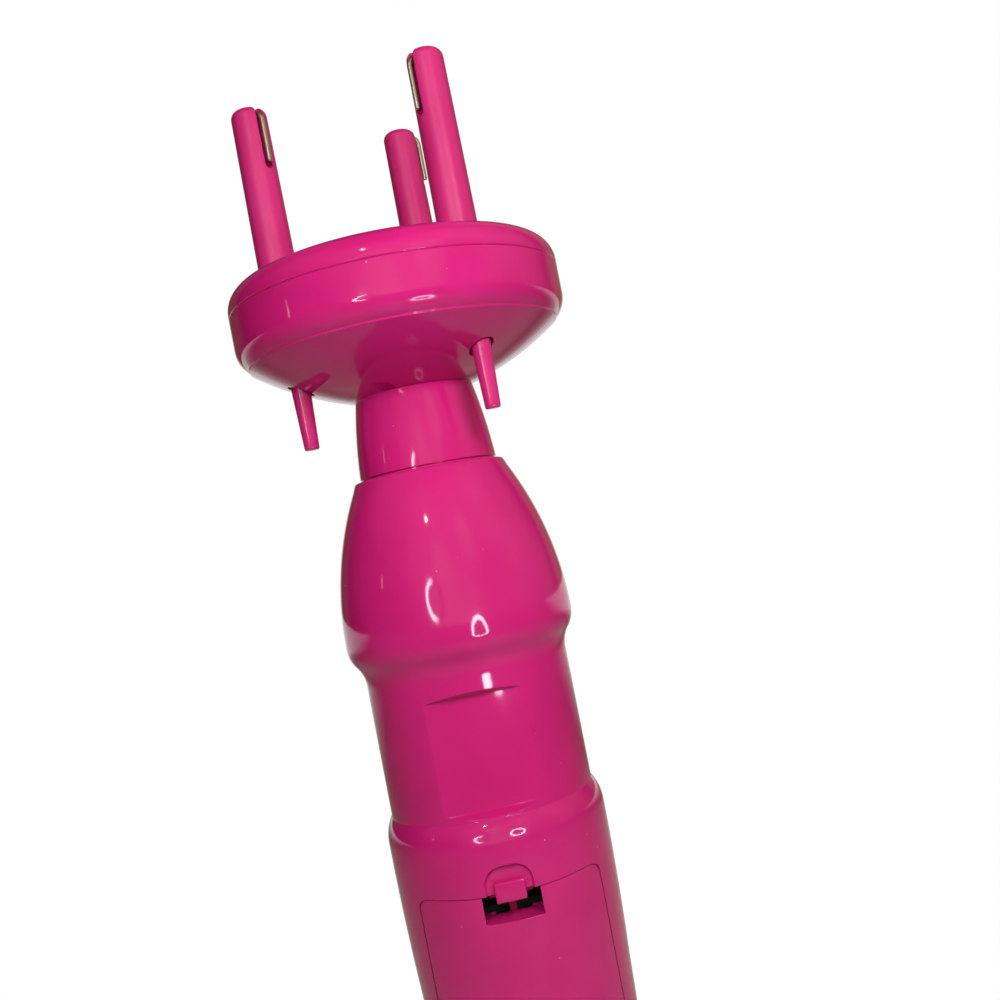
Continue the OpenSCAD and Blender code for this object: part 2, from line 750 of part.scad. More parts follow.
// Cone springs at the flat ends of the cells
module contact_springs() {
    for (i = [0:3]) {
        low = cell_up(i);
        wide_z = low ? plate_z[0] : plate_z[1];
        thin_z = low ? cell_z0 : cell_z1;
        color(steel) translate([cell_xy(i)[0], cell_xy(i)[1], 0]) rotate_extrude()
            polygon([[contact_r - contact_wire, wide_z], [contact_r, wide_z],
                     [contact_r - contact_taper, thin_z],
                     [contact_r - contact_taper - contact_wire, thin_z]]);
    }
}

// Nickel plates on the tray's end walls, with a stud at each cell's nub
module contact_plates() {
    color(steel) {
        for (side = [-1, 1]) {
            mid = side * cell_pitch / 2;
            box([mid - contact_r, mid + contact_r], [-contact_end, contact_end],
                [plate_z[0] - contact_t, plate_z[0]]);
            box([-contact_end, contact_end], [mid - contact_r, mid + contact_r],
                [plate_z[1], plate_z[1] + contact_t]);
        }
        for (i = [0:3]) translate([cell_xy(i)[0], cell_xy(i)[1],
                                   cell_up(i) ? cell_z1 : plate_z[0] - touch])
            cylinder(r = nub_r - contact_t,
                h = (cell_up(i) ? plate_z[1] - cell_z1 : cell_z0 - plate_z[0]) + touch);
    }
}

// ---- Wires ----

function unit(v) = v / norm(v);

// Direction of a route at its point i
function route_dir(p, i) = unit(p[min(i + 1, len(p) - 1)] - p[max(i - 1, 0)]);

// A wire of radius r with eight sides along the points p, which lie mostly in planes of constant X
module wire(p, r) {
    sides = 8;
    rings = [for (i = [0:len(p) - 1])
        let (d = route_dir(p, i), u = unit(cross(d, [1, 0, 0])), v = cross(d, u))
        for (k = [0:sides - 1]) p[i] + r * (cos(k * 360 / sides) * u + sin(k * 360 / sides) * v)];
    last = (len(p) - 1) * sides;
    walls = [for (i = [0:len(p) - 2], k = [0:sides - 1])
        let (a = i * sides + k, b = i * sides + (k + 1) % sides)
        each [[a, b, b + sides], [a, b + sides, a + sides]]];
    caps = [for (k = [1:sides - 2]) each [[0, k + 1, k], [last, last + k, last + k + 1]]];
    polyhedron(rings, concat(walls, caps));
}

// From the tray's upper wall to the circuit board's lower edge
module battery_leads() {
    for (side = [-1, 1]) color(side < 0 ? "black" : "red")
        wire([[side * 10, 11, tray_z1], [side * 10, 11, tray_z1 + 3], [side * 9.4, 11.6, tray_z1 + 7],
              [side * 8.2, 12.8, board_z0 - 6], [side * 7.2, 14, board_z0 - 3.5],
              [side * 7, 14.4, board_z0 - 1.5], [side * 7, 14.4, board_z0]], wire_r);
}

// From the motor's terminals to the circuit board's front face
module motor_leads() {
    z = motor_z0 - end_cap_h - tag_h;
    for (side = [-1, 1]) {
        x = side * tag_x;
        color(side < 0 ? "black" : "red")
            wire([[x, 1, z], [x, 1, z - 1.5], [x, 3, z - 3], [x, 7, z - 3.6], [x, 10, z - 3],
                  [x, board_y - 1.5, z - 2.6], [x, board_y, z - 2.6]], wire_r);
    }
}

// ---- Motor ----

module motor_can() {
    color(steel) difference() {
        union() {
            intersection() {
                translate([0, 0, motor_z0]) cylinder(r = motor_r, h = motor_len);
                box([-big / 8, big / 8], [-motor_flat, motor_flat], [motor_z0 - over, motor_z1 + over]);
            }
            translate([0, 0, motor_z1 - touch]) cylinder(r = motor_nose_r, h = motor_nose_h);
        }
        translate([0, 0, motor_shaft_z0 - face_gap])
            cylinder(r = motor_shaft_r + bush_gap, h = motor_len + motor_nose_h);
        for (side = [-1, 1]) translate([side * motor_screw_x, 0, motor_z1 - motor_screw_deep - 0.5])
            cylinder(r = motor_screw_r + 0.05, h = motor_screw_deep + 0.5 + over);
    }
}

module motor_end_cap() {
    step = 0.5;
    color(ivory) {
        intersection() {
            translate([0, 0, motor_z0 - end_cap_h]) cylinder(r = motor_r - step, h = end_cap_h);
            box([-big / 8, big / 8], [step - motor_flat, motor_flat - step],
                [motor_z0 - end_cap_h - over, motor_z0 + over]);
        }
        for (side = [-1, 1]) box([side * tag_x - 1, side * tag_x + 1], tag_y,
            [motor_z0 - end_cap_h - tag_h, motor_z0 - end_cap_h + touch]);
    }
}

module motor_screws() {
    color(steel) for (side = [-1, 1]) translate([side * motor_screw_x, 0, 0]) {
        translate([0, 0, motor_z1 - motor_screw_deep])
            cylinder(r = motor_screw_r, h = base_z1 - motor_z1 + motor_screw_deep + touch);
        translate([0, 0, base_z1]) cylinder(r = 2 * motor_screw_r, h = 1);
    }
}

module motor_shaft() {
    color(steel) translate([0, 0, motor_shaft_z0])
        cylinder(r = motor_shaft_r, h = motor_pinion_z0 + motor_pinion_h - motor_shaft_z0);
}

module motor_pinion() {
    color(brass) translate([0, 0, motor_pinion_z0]) difference() {
        train_gear(pinion_teeth, motor_pinion_h);
        translate([0, 0, -over]) cylinder(r = motor_shaft_r + fit_gap, h = motor_pinion_h + 2 * over);
    }
}

// ---- Gearbox ----

function pillar_xy(i) = pillar_circle * [cos(45 + 90 * i), sin(45 + 90 * i)];

// Lower plate with four pillars; the motor hangs from it
module gearbox_base() {
    color(ivory) difference() {
        union() {
            translate([0, 0, base_z0]) cylinder(r = plate_r0, h = base_z1 - base_z0);
            for (i = [0:3]) translate([pillar_xy(i)[0], pillar_xy(i)[1], base_z1 - touch])
                cylinder(r = pillar_r, h = top_z0 - base_z1 + touch);
        }
        translate([0, 0, base_z0 - over])
            cylinder(r = motor_nose_r + face_gap, h = gear_plate_t + 2 * over);
        for (side = [-1, 1]) translate([side * motor_screw_x, 0, base_z0 - over])
            cylinder(r = motor_screw_r + screw_gap, h = gear_plate_t + 2 * over);
        translate([0, -train_a, base_z0 - over]) cylinder(r = axle_r, h = gear_plate_t + 2 * over);
        for (i = [0:3]) translate([pillar_xy(i)[0], pillar_xy(i)[1], top_z0 - pillar_screw_deep - over])
            cylinder(r = pillar_screw_r, h = pillar_screw_deep + 2 * over);
    }
}

module gearbox_top() {
    color(ivory) difference() {
        translate([0, 0, top_z0]) cylinder(r = plate_r1, h = top_z1 - top_z0);
        translate([0, 0, top_z0 - over]) cylinder(r = gear_bush_r + fit_gap, h = gear_plate_t + 2 * over);
        translate([0, -train_a, top_z0 - over]) cylinder(r = axle_r, h = gear_plate_t + 2 * over);
        for (i = [0:3]) translate([pillar_xy(i)[0], pillar_xy(i)[1], top_z0 - over])
            cylinder(r = pillar_screw_r + screw_gap, h = gear_plate_t + 2 * over);
    }
}

module gearbox_screws() {
    color(steel) for (i = [0:3]) translate([pillar_xy(i)[0], pillar_xy(i)[1], 0]) {
        translate([0, 0, top_z0 - pillar_screw_deep])
            cylinder(r = pillar_screw_r, h = gear_plate_t + pillar_screw_deep + touch);
        translate([0, 0, top_z1]) cylinder(r = 2 * pillar_screw_r, h = 1);
    }
}

module gear_axle() {
    color(steel) translate([0, -train_a, base_z0]) cylinder(r = axle_r, h = top_z1 - base_z0);
}

wheel_turn = mesh_turn(pinion_teeth, 0, wheel_teeth, compound_at);
output_turn = mesh_turn(pinion_teeth, wheel_turn, wheel_teeth, compound_at + 180);

// Wheel driven by the motor, and a pinion that drives the output gear, in one moulding
module compound_gear() {
    color(ivory) translate([0, -train_a, 0]) rotate([0, 0, wheel_turn]) difference() {
        union() {
            translate([0, 0, wheel_z0]) train_gear(wheel_teeth, wheel_t);
            translate([0, 0, wheel_z0 + wheel_t - touch])
                train_gear(pinion_teeth, output_z0 + output_t + pinion_over - wheel_z0 - wheel_t);
            translate([0, 0, base_z1 + face_gap]) cylinder(r = wheel_boss_r, h = wheel_z0 - base_z1);
        }
        translate([0, 0, base_z0]) cylinder(r = axle_r + bush_gap, h = top_z0 - base_z0);
    }
}

module output_gear() {
    color(ivory) rotate([0, 0, output_turn]) difference() {
        union() {
            translate([0, 0, output_z0]) train_gear(wheel_teeth, output_t);
            translate([0, 0, output_z0]) cylinder(r = output_hub_r, h = bush_z0 - output_z0 - face_gap);
        }
        translate([0, 0, shaft_z0 - fit_gap]) cylinder(r = shaft_r + bush_gap, h = top_z0 - output_z0);
    }
}

module drive_shaft() {
    color(steel) difference() {
        translate([0, 0, shaft_z0]) cylinder(r = shaft_r, h = shaft_z1 - shaft_z0);
        ring(clip_z - face_gap, clip_t + 2 * face_gap, shaft_r - clip_deep, shaft_r + over);
    }
}

module gearbox_bush() {
    color(brass) {
        ring(bush_z0, bush_z1 - bush_z0, shaft_r + bush_gap, gear_bush_r);
        ring(top_z1, 1, gear_bush_r - touch, bush_flange_r);
    }
}

module sun_gear() {
    color(ivory) difference() {
        union() {
            translate([0, 0, gear_z0]) head_gear(sun_teeth, gear_t);
            translate([0, 0, gear_z0 - sun_hub_h]) cylinder(r = sun_hub_r, h = sun_hub_h + touch);
        }
        translate([0, 0, gear_z0 - sun_hub_h - over])
            cylinder(r = shaft_r + fit_gap, h = gear_t + sun_hub_h + 2 * over);
        for (i = [0:5]) rotate([0, 0, 60 * i + 30]) translate([sun_hole_circle, 0, gear_z0 - over])
            cylinder(r = sun_hole_r, h = gear_t + 2 * over);
    }
}

// Retaining clip in the shaft's groove, open on one side
module shaft_clip() {
    color(steel) difference() {
        ring(clip_z, clip_t, shaft_r - clip_deep, shaft_r + clip_out);
        box([0, big / 8], [-1.3, 1.3], [clip_z - over, clip_z + clip_t + over]);
    }
}

// ---- Neck ----

module neck_bearing() {
    color(ivory) ring(bearing_z0, bearing_z1 - bearing_z0, journal_r + bush_gap, bearing_r - hub_gap);
}

hub_r = 10;
hub_t = 2.5;                        // wall of the hub inside the wrap spring
clutch_z0 = groove_z0 - 7;
clutch_h = 5.5;
clutch_r = [hub_r + 0.3, hub_r + 1.2];

// Wrap spring that lets the head turn one way only, drawn as a sleeve of its outer size
module clutch_spring() {
    color(steel) {
        ring(clutch_z0, clutch_h, clutch_r[0], clutch_r[1]);
        // Tang that rests on a screw boss
        box([clutch_r[1] - 0.2, screw_x[2] - screw_boss_r], [-0.5, 0.5], [clutch_z0, clutch_z0 + 1]);
    }
}

hub_z0 = clutch_z0 - 0.5;

// Side of the neck, from its skirt up to the head, slightly swollen
function neck_side() =
    [for (i = [0:6]) let (t = i / 6)
        [neck_r0 + (neck_r1 - neck_r0) * t + 4 * neck_bulge * t * (1 - t), neck_foot_z + neck_h * t]];

module neck_sleeve() {
    color(pink) difference() {
        rotate_extrude() polygon(concat([[hub_r, hub_z0], [hub_r, groove_z0 + flange_gap],
            [flange_r, groove_z0 + flange_gap], [flange_r, groove_z1 - flange_gap],
            [journal_r, groove_z1 - flange_gap], [journal_r, neck_z0], [neck_r0, neck_z0]], neck_side(),
            [[spigot_r, neck_z1], [spigot_r, web_z1], [bush_r, web_z1], [bush_r, web_z0],
             [spigot_r - hub_t, web_z0], [spigot_r - 1, web_z0 - 3], [hub_r + 1, mouth_z],
             [hub_r - hub_t, groove_z1], [hub_r - hub_t, hub_z0]]));
        for (i = [0:2]) rotate([0, 0, 120 * i]) translate([hub_screw_circle, 0, web_z0 - over])
            cylinder(r = hub_screw_r, h = web_z1 - web_z0 + 2 * over);
    }
}

module neck_bush() {
    color(brass) ring(web_z0, web_z1 - web_z0, shaft_r + bush_gap, bush_r);
}

// Screws through the bowl's hub into the neck's web
module neck_screws() {
    color(steel) for (i = [0:2]) rotate([0, 0, 120 * i]) translate([hub_screw_circle, 0, 0]) {
        translate([0, 0, web_z0 - 0.5]) cylinder(r = hub_screw_r, h = hub_z1 - web_z0 + 0.5 + touch);
        translate([0, 0, hub_z1]) cylinder(r = 2.2, h = 1.6);
    }
}

// ---- Head ----

// The bowl's outer side from the neck to the seam, moved in by w, from angle a0 of the underside
function bowl_side(w, a0) = concat(
    arc(bowl_c, bowl_arc_r - w, a0 - 90, corner_a - 90.5, 7),
    arc([corner_x, corner_z], head_round - w, corner_a - 90, 0, 7));

module head_base() {
    floor_r = spigot_r + 3.07;
    hole_h = seam_z - neck_z1;
    in_a = asin((floor_r - bowl_c[0]) / (bowl_arc_r - wall));
    dimple_a = asin((dimple_at - bowl_c[0]) / bowl_arc_r);
    color(pink) difference() {
        union() {
            rotate_extrude() polygon(concat([[bush_r + 0.5, web_z1], [spigot_r + hub_gap, web_z1],
                [spigot_r + hub_gap, neck_z1]],
                bowl_side(0, asin((neck_r1 - bowl_c[0]) / bowl_arc_r)),
                [[head_r, seam_z], [head_r - wall, seam_z]], reversed(bowl_side(wall, in_a)),
                [[floor_r, hub_z1], [bush_r + 0.5, hub_z1]]));
            intersection() {
                for (i = [0:2]) rotate([0, 0, finger_at[i]]) translate([finger_circle, 0, neck_z1])
                    cylinder(r = boss_r, h = gear_z0 - boss_gap - neck_z1);
                rotate_extrude() polygon(concat([[0, hub_z1]], bowl_side(wall / 2, in_a),
                    [[head_r - wall / 2, seam_z], [0, seam_z]]));
            }
        }
        for (i = [0:2]) rotate([0, 0, finger_at[i]]) translate([finger_circle, 0, 0]) {
            translate([0, 0, neck_z1]) cylinder(r = pin_hole_r, h = hole_h);
            translate([0, 0, boss_z0]) cylinder(r = finger_r0 + bush_gap, h = hole_h);
        }
        for (i = [0:2]) rotate([0, 0, 120 * i]) translate([hub_screw_circle, 0, web_z1 - over])
            cylinder(r = hub_screw_r + screw_gap, h = hub_z1 - web_z1 + 2 * over);
        // Shallow moulding dimple under the bowl
        rotate([0, 0, dimple_turn]) translate([bowl_c[0], 0, bowl_c[1]]) rotate([0, 180 - dimple_a, 0])
            translate([0, 0, bowl_arc_r + dimple_ball_r - dimple_depth]) sphere(r = dimple_ball_r);
    }
}

// Domed cover, with a skirt inside the bowl's wall and a bearing boss for each finger
module head_cover() {
    edge = arc([corner_x, cover_z], head_round, -8, 90 - dome_a, 8);
    bottom = seam_z - skirt_h;
    boss_low = gear_z0 + gear_t + finger_collar_t + run_gap;
    dome = arc([0, dome_z], dome_arc_r, 90 - dome_a, 90, 8);
    under = arc([0, dome_z], dome_arc_r - wall, 90, 90 - dome_a, 8);
    color(pink) difference() {
        union() {
            rotate_extrude() polygon(concat([[head_r - lid_inset, seam_z]], edge, dome, under,
                [[head_r - 2 * wall, seam_z + rim_h], [head_r - 2 * wall, bottom],
                 [head_r - wall - face_gap, bottom], [head_r - wall - face_gap, seam_z]]));
            intersection() {
                for (i = [0:2]) rotate([0, 0, finger_at[i]])
                    translate([finger_circle, 0, boss_low]) cylinder(r = boss_r, h = 20);
                rotate_extrude() polygon(concat([[0, boss_low - over]], [[corner_x, boss_low - over]],
                    reversed(arc([0, dome_z], dome_arc_r - wall / 2, 90, 90 - dome_a, 8))));
            }
        }
        for (i = [0:2]) rotate([0, 0, finger_at[i]]) translate([finger_circle, 0, boss_low - over])
            cylinder(r = finger_r0 + run_gap, h = 30);
    }
}

// ---- Fingers, hooks and push pins ----

module at_finger(i) {
    rotate([0, 0, finger_at[i]]) translate([finger_circle, 0, 0]) rotate([0, 0, slot_at[i] - finger_at[i]])
        children();
}

// Tapered post with a domed tip; its hair slot faces +X here
module finger(i) {
    straight_z = seam_z + straight_h;
    slot_r = slot_w / 2;
    reach = finger_r0 + 2;
    color(pink) at_finger(i) difference() {
        union() {
            rotate_extrude() polygon(concat(
                [[0, finger_z0], [finger_r0, finger_z0], [finger_r0, straight_z]],
                arc([finger_r1 - tip_round, tip_z - tip_round], tip_round, 0, 90, 6), [[0, tip_z]]));
            translate([0, 0, gear_z0 + gear_t]) cylinder(r = finger_collar_r, h = finger_collar_t);
        }
        translate([0, 0, finger_z0 - over]) cylinder(r = bore_r, h = spring_seat_z - finger_z0 + over);
        cylinder(r = rod_bore_r, h = tip_z - slot_len);
        translate([0, 0, tip_z - slot_len + slot_r]) {
            cylinder(r = slot_r, h = slot_len);
            translate([0, -slot_r, 0]) cube([reach, slot_w, slot_len]);
            rotate([0, 90, 0]) cylinder(r = slot_r, h = reach);
        }
        translate([0, 0, tip_z - slot_len - over]) cylinder(r = rod_bore_r, h = slot_r + over);
    }
}

module finger_gear(i) {
    turn = mesh_turn(sun_teeth, 0, finger_teeth, finger_at[i]);
    color(ivory) rotate([0, 0, finger_at[i]]) translate([finger_circle, 0, gear_z0])
        rotate([0, 0, turn - finger_at[i]]) difference() {
            head_gear(finger_teeth, gear_t);
            translate([0, 0, -over]) cylinder(r = finger_r0 + fit_gap, h = gear_t + 2 * over);
        }
}

// Bent steel wire: an inner leg held by the plunger's rod, a bend over the slot and an outer leg
module hook(i) {
    leg_r = hook_d / 2 - fit_gap;
    leg_z0 = bend_z - hook_leg;
    color(steel) at_finger(i) {
        translate([0, 0, rod_z1 - hook_deep]) cylinder(r = leg_r, h = bend_z - rod_z1 + hook_deep + touch);
        translate([hook_reach / 2, 0, bend_z]) rotate([90, 0, 0])
            rotate_extrude(angle = 180) translate([hook_reach / 2, 0]) circle(d = hook_d);
        translate([hook_reach, 0, 0]) rotate_extrude()
            polygon(concat(arc([0, leg_z0 + leg_r], leg_r, -90, 0, 5),
                [[leg_r, bend_z + touch], [0, bend_z + touch]]));
    }
}

// Push pin below the head, a guide collar in the finger's bore and a rod that carries the hook
module plunger(i) {
    color(pink) at_finger(i) difference() {
        rotate_extrude() polygon(concat([[0, pin_z0]],
            arc([pin_r1 - pin_round, pin_z0 + pin_round], pin_round, -90, 0, 4),
            [[pin_r0, boss_z0], [pin_r0, collar_z0], [bore_r - collar_gap, collar_z0],
             [bore_r - collar_gap, collar_z1], [rod_r, collar_z1], [rod_r, rod_z1], [0, rod_z1]]));
        translate([0, 0, rod_z1 - hook_deep]) cylinder(d = hook_d, h = hook_deep + over);
    }
}

// Return spring between the plunger's collar and the finger's inner shoulder, drawn as a sleeve
module plunger_spring(i) {
    color(steel) at_finger(i) ring(collar_z1, spring_seat_z - collar_z1, return_spring_r[0],
        return_spring_r[1]);
}

// ---- Controls ----

module circuit_board() {
    color(board_green) box([-board_w / 2, board_w / 2], [board_y, board_y + board_t], [board_z0, board_z1]);
}

module switch_bodies() {
    color(charcoal) for (k = [-1, 1]) {
        z = button_z + k * button_pitch / 2;
        difference() {
            box([-switch_half, switch_half], [board_y + board_t, switch_y],
                [z - switch_half, z + switch_half]);
            bar_y(0, z, key_r + key_gap, switch_y - switch_bore, switch_y + over);
        }
    }
}

module switch_nub(k) {
    color(ivory) bar_y(0, button_z + k * button_pitch / 2, key_r, switch_y - 1, stem_y);
}

// Push button: a cap that follows the waist, a flange behind the opening and a stem
module push_button(k) {
    z = button_z + k * button_pitch / 2;
    flange_out = waist_r - wall - button_gap;
    color(deep_pink) {
        intersection() {
            ring(z - button_h, 2 * button_h, flange_out - button_t, waist_r + button_out);
            translate([0, 0, z]) along_y(rounded(button_w, button_h, button_corner), board_y, big / 8);
        }
        intersection() {
            ring(z - button_h, 2 * button_h, flange_out - flange_t, flange_out);
            translate([0, 0, z])
                along_y(rounded(button_w + flange_over, button_h + flange_over, window_corner),
                    board_y, big / 8);
        }
        bar_y(0, z, stem_r, stem_y, flange_out - key_gap);
    }
}

front_shell();
rear_shell();
shell_screws();
battery_door();
door_pin();
door_latch();
latch_spring();
battery_tray();
battery_cells();
contact_springs();
contact_plates();
battery_leads();
motor_can();
motor_end_cap();
motor_screws();
motor_leads();
motor_shaft();
motor_pinion();
gearbox_base();
gearbox_top();
gearbox_screws();
gear_axle();
compound_gear();
output_gear();
drive_shaft();
gearbox_bush();
sun_gear();
shaft_clip();
neck_bearing();
clutch_spring();
neck_sleeve();
neck_bush();
neck_screws();
head_base();
head_cover();
finger(0);  // finger_1
finger(1);  // finger_2
finger(2);  // finger_3
finger_gear(0);  // finger_gear_1
finger_gear(1);  // finger_gear_2
finger_gear(2);  // finger_gear_3
hook(0);  // hook_1
hook(1);  // hook_2
hook(2);  // hook_3
plunger(0);  // plunger_1
plunger(1);  // plunger_2
plunger(2);  // plunger_3
plunger_spring(0);  // plunger_spring_1
plunger_spring(1);  // plunger_spring_2
plunger_spring(2);  // plunger_spring_3
circuit_board();
switch_bodies();
push_button(1);  // twist_button
push_button(-1);  // braid_button
switch_nub(1);  // twist_nub
switch_nub(-1);  // braid_nub
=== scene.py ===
"""Looks of the automatic hair braider: hot pink gloss mouldings, satin fingers and pins, steel wire hooks,
and the drive inside. Metres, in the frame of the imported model: Z up the handle, the front faces -Y."""

import math

import bmesh
import bpy
from mathutils import Matrix, Vector


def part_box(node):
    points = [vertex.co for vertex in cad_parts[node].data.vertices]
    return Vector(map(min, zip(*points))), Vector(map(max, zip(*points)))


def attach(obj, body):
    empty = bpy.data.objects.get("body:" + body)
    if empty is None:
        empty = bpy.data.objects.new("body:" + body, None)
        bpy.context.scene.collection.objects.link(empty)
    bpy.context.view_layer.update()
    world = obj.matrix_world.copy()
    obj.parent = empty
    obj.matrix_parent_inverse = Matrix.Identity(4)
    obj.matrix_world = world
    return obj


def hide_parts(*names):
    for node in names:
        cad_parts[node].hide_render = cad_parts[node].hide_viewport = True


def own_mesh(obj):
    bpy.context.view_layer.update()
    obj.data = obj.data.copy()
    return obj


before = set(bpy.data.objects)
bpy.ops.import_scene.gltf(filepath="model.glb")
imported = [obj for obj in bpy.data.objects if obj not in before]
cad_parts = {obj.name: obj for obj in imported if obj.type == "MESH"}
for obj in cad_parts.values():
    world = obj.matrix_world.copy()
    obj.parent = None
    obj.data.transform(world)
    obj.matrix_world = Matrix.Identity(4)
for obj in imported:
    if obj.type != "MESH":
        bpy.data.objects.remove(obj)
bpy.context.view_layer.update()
MM = 0.001

# ---- Housing halves ------------------------------------------------------------------------------
# Two injection-moulded halves of glossy hot pink ABS, joined in the middle plane by six screws from
# behind. They carry the neck's collar at the top and ribs for the gearbox and the battery tray. The
# front half has the bare flat panel, the thumb recess and the opening of the battery door.

FOOT_R, FOOT_ROUND = 23.2, 4.0
GRIP_R, SHOULDER_Z, BARREL_H, BARREL_R = 26.15, 94.5, 36.2, 670.0
WAIST_R, SHOULDER_ROUND, TUCK_ROUND = 24.27, 10.5, 7.2
BULGE_R, BULGE_ARC = 27.48, 80.0
WALL, TUCK_SOFT = 2.2, 8.0
waist_low = SHOULDER_Z + math.sqrt(SHOULDER_ROUND**2 - (SHOULDER_ROUND - GRIP_R + WAIST_R) ** 2)
waist_top = waist_low + 34.7
tuck_z = waist_top + math.sqrt(TUCK_ROUND**2 - (TUCK_ROUND - BULGE_R + WAIST_R) ** 2)
handle_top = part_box("front_shell")[1].z / MM
mouth_z = handle_top - 2.5


def arc(x, z, r, start, end, count=8):
    """Points on an arc about x, z from one angle in degrees to another."""
    turns = [math.radians(start + (end - start) * i / count) for i in range(count + 1)]
    return [(x + r * math.cos(t), z + r * math.sin(t)) for t in turns]


def stepped(low, high, longest):
    """Points that split a straight stretch, so that its faces stay short; the first is left out."""
    count = max(1, math.ceil(math.dist(low, high) / longest))
    share = [(i + 1) / count for i in range(count)]
    return [(low[0] + (high[0] - low[0]) * s, low[1] + (high[1] - low[1]) * s) for s in share]


def handle_line(inset, top):
    """The handle's side outline, moved in by the inset, from the foot to the height top."""
    foot = arc(FOOT_R - FOOT_ROUND, FOOT_ROUND, FOOT_ROUND - inset, -90, 0, 8)
    barrel = arc(GRIP_R - BARREL_R, SHOULDER_Z, BARREL_R - inset, -math.degrees(math.asin(BARREL_H / BARREL_R)), 0, 9)
    turn = SHOULDER_ROUND - inset
    ends = math.degrees(math.acos((WAIST_R - GRIP_R + SHOULDER_ROUND - inset) / turn))
    shoulder = arc(GRIP_R - SHOULDER_ROUND, SHOULDER_Z, turn, 3, ends, 9)
    hollow = TUCK_ROUND - inset
    begins = -math.degrees(math.acos((WAIST_R - BULGE_R + TUCK_ROUND - inset) / hollow))
    corner = []
    if not inset:
        across = WAIST_R - BULGE_R + TUCK_ROUND + TUCK_SOFT
        drop = math.sqrt((TUCK_ROUND + TUCK_SOFT) ** 2 - across**2)
        begins = -math.degrees(math.atan2(drop, across))
        corner = arc(WAIST_R + TUCK_SOFT, tuck_z - drop, TUCK_SOFT, 180, 180 + begins, 8)[:-1]
    tuck = arc(BULGE_R - TUCK_ROUND, tuck_z, hollow, begins, 0, 12)
    curve = BULGE_ARC - inset
    bulge = arc(BULGE_R - BULGE_ARC, tuck_z + 0.5, curve, 0, math.degrees(math.asin((top - tuck_z - 0.5) / curve)), 26)
    grip = stepped(foot[-1], barrel[0], 5)[:-1]
    waist = stepped(shoulder[-1], (corner + tuck)[0], 4)[:-1]
    return foot + grip + barrel + shoulder + waist + corner + tuck + bulge


def only(piece):
    """Selects one piece and nothing else."""
    bpy.ops.object.select_all(action="DESELECT")
    piece.select_set(True)
    bpy.context.view_layer.objects.active = piece


def turned(name, outline, sweep=360, steps=192):
    """A turned shape: a point is drawn along the closed outline in the XZ plane and spun about Z."""
    bpy.ops.object.select_all(action="DESELECT")
    bpy.ops.mesh.primitive_plane_add(size=MM)
    piece = bpy.context.object
    piece.name = name
    bpy.ops.object.mode_set(mode="EDIT")
    bpy.ops.mesh.select_all(action="SELECT")
    bpy.ops.mesh.merge(type="CENTER")
    places = [Vector((r * MM, 0, z * MM)) for r, z in outline]
    bpy.ops.transform.translate(value=places[0])
    for here, there in zip(places, places[1:]):
        bpy.ops.mesh.extrude_vertices_move(TRANSFORM_OT_translate={"value": there - here})
    bpy.ops.mesh.select_all(action="SELECT")
    bpy.ops.mesh.edge_face_add()
    if sweep == 360:
        bpy.ops.mesh.delete(type="ONLY_FACE")
        bpy.ops.mesh.select_all(action="SELECT")
    bpy.ops.mesh.spin(steps=steps, angle=math.radians(sweep), center=(0, 0, 0), axis=(0, 0, 1))
    bpy.ops.mesh.select_all(action="SELECT")
    bpy.ops.mesh.remove_doubles(threshold=0.002 * MM)
    bpy.ops.mesh.normals_make_consistent(inside=False)
    bpy.ops.object.mode_set(mode="OBJECT")
    return piece


def settled(piece):
    """Puts the piece's place into its mesh."""
    only(piece)
    bpy.ops.object.transform_apply(location=True, rotation=True, scale=True)
    return piece


def block(name, low, high, rounding=0, edges=None, segments=8):
    """A block between two corners in millimetres, with its chosen edges rounded."""
    bpy.ops.object.select_all(action="DESELECT")
    middle = [(a + b) / 2 * MM for a, b in zip(low, high)]
    bpy.ops.mesh.primitive_cube_add(size=1, location=middle, scale=[(b - a) * MM for a, b in zip(low, high)])
    piece = settled(bpy.context.object)
    piece.name = name
    if rounding:
        round_edges(piece, rounding, edges or (lambda a, b: True), segments)
    return piece


def round_edges(piece, rounding, chosen, segments):
    """Bevels the edges whose two ends, in millimetres, the test picks."""
    only(piece)
    bpy.ops.object.mode_set(mode="EDIT")
    bpy.ops.mesh.select_mode(type="EDGE")
    bpy.ops.mesh.select_all(action="DESELECT")
    mesh = bmesh.from_edit_mesh(piece.data)
    for edge in mesh.edges:
        edge.select_set(chosen(*(v.co / MM for v in edge.verts)))
    mesh.select_flush_mode()
    bmesh.update_edit_mesh(piece.data)
    bpy.ops.mesh.bevel(offset=rounding * MM, segments=segments, affect="EDGES")
    bpy.ops.mesh.select_mode(type="VERT")
    bpy.ops.object.mode_set(mode="OBJECT")


def rod(name, r, start, end, sides=64):
    """A round rod between two points in millimetres."""
    bpy.ops.object.select_all(action="DESELECT")
    a, b = Vector(start) * MM, Vector(end) * MM
    turn = (b - a).to_track_quat("Z", "Y").to_euler()
    bpy.ops.mesh.primitive_cylinder_add(
        radius=r * MM, depth=(b - a).length, vertices=sides, location=(a + b) / 2, rotation=turn)
    piece = settled(bpy.context.object)
    piece.name = name
    return piece


def joined(piece, tool, operation="DIFFERENCE"):
    """Cuts the piece with a tool, or adds the tool to it; the tool is used up."""
    only(piece)
    modifier = piece.modifiers.new("join", "BOOLEAN")
    modifier.operation = operation
    modifier.solver = "EXACT"
    modifier.object = tool
    bpy.ops.object.modifier_apply(modifier=modifier.name)
    bpy.data.objects.remove(tool, do_unlink=True)
    return piece


def smoothed(piece, angle=32):
    only(piece)
    bpy.ops.object.shade_smooth_by_angle(angle=math.radians(angle))
    return piece


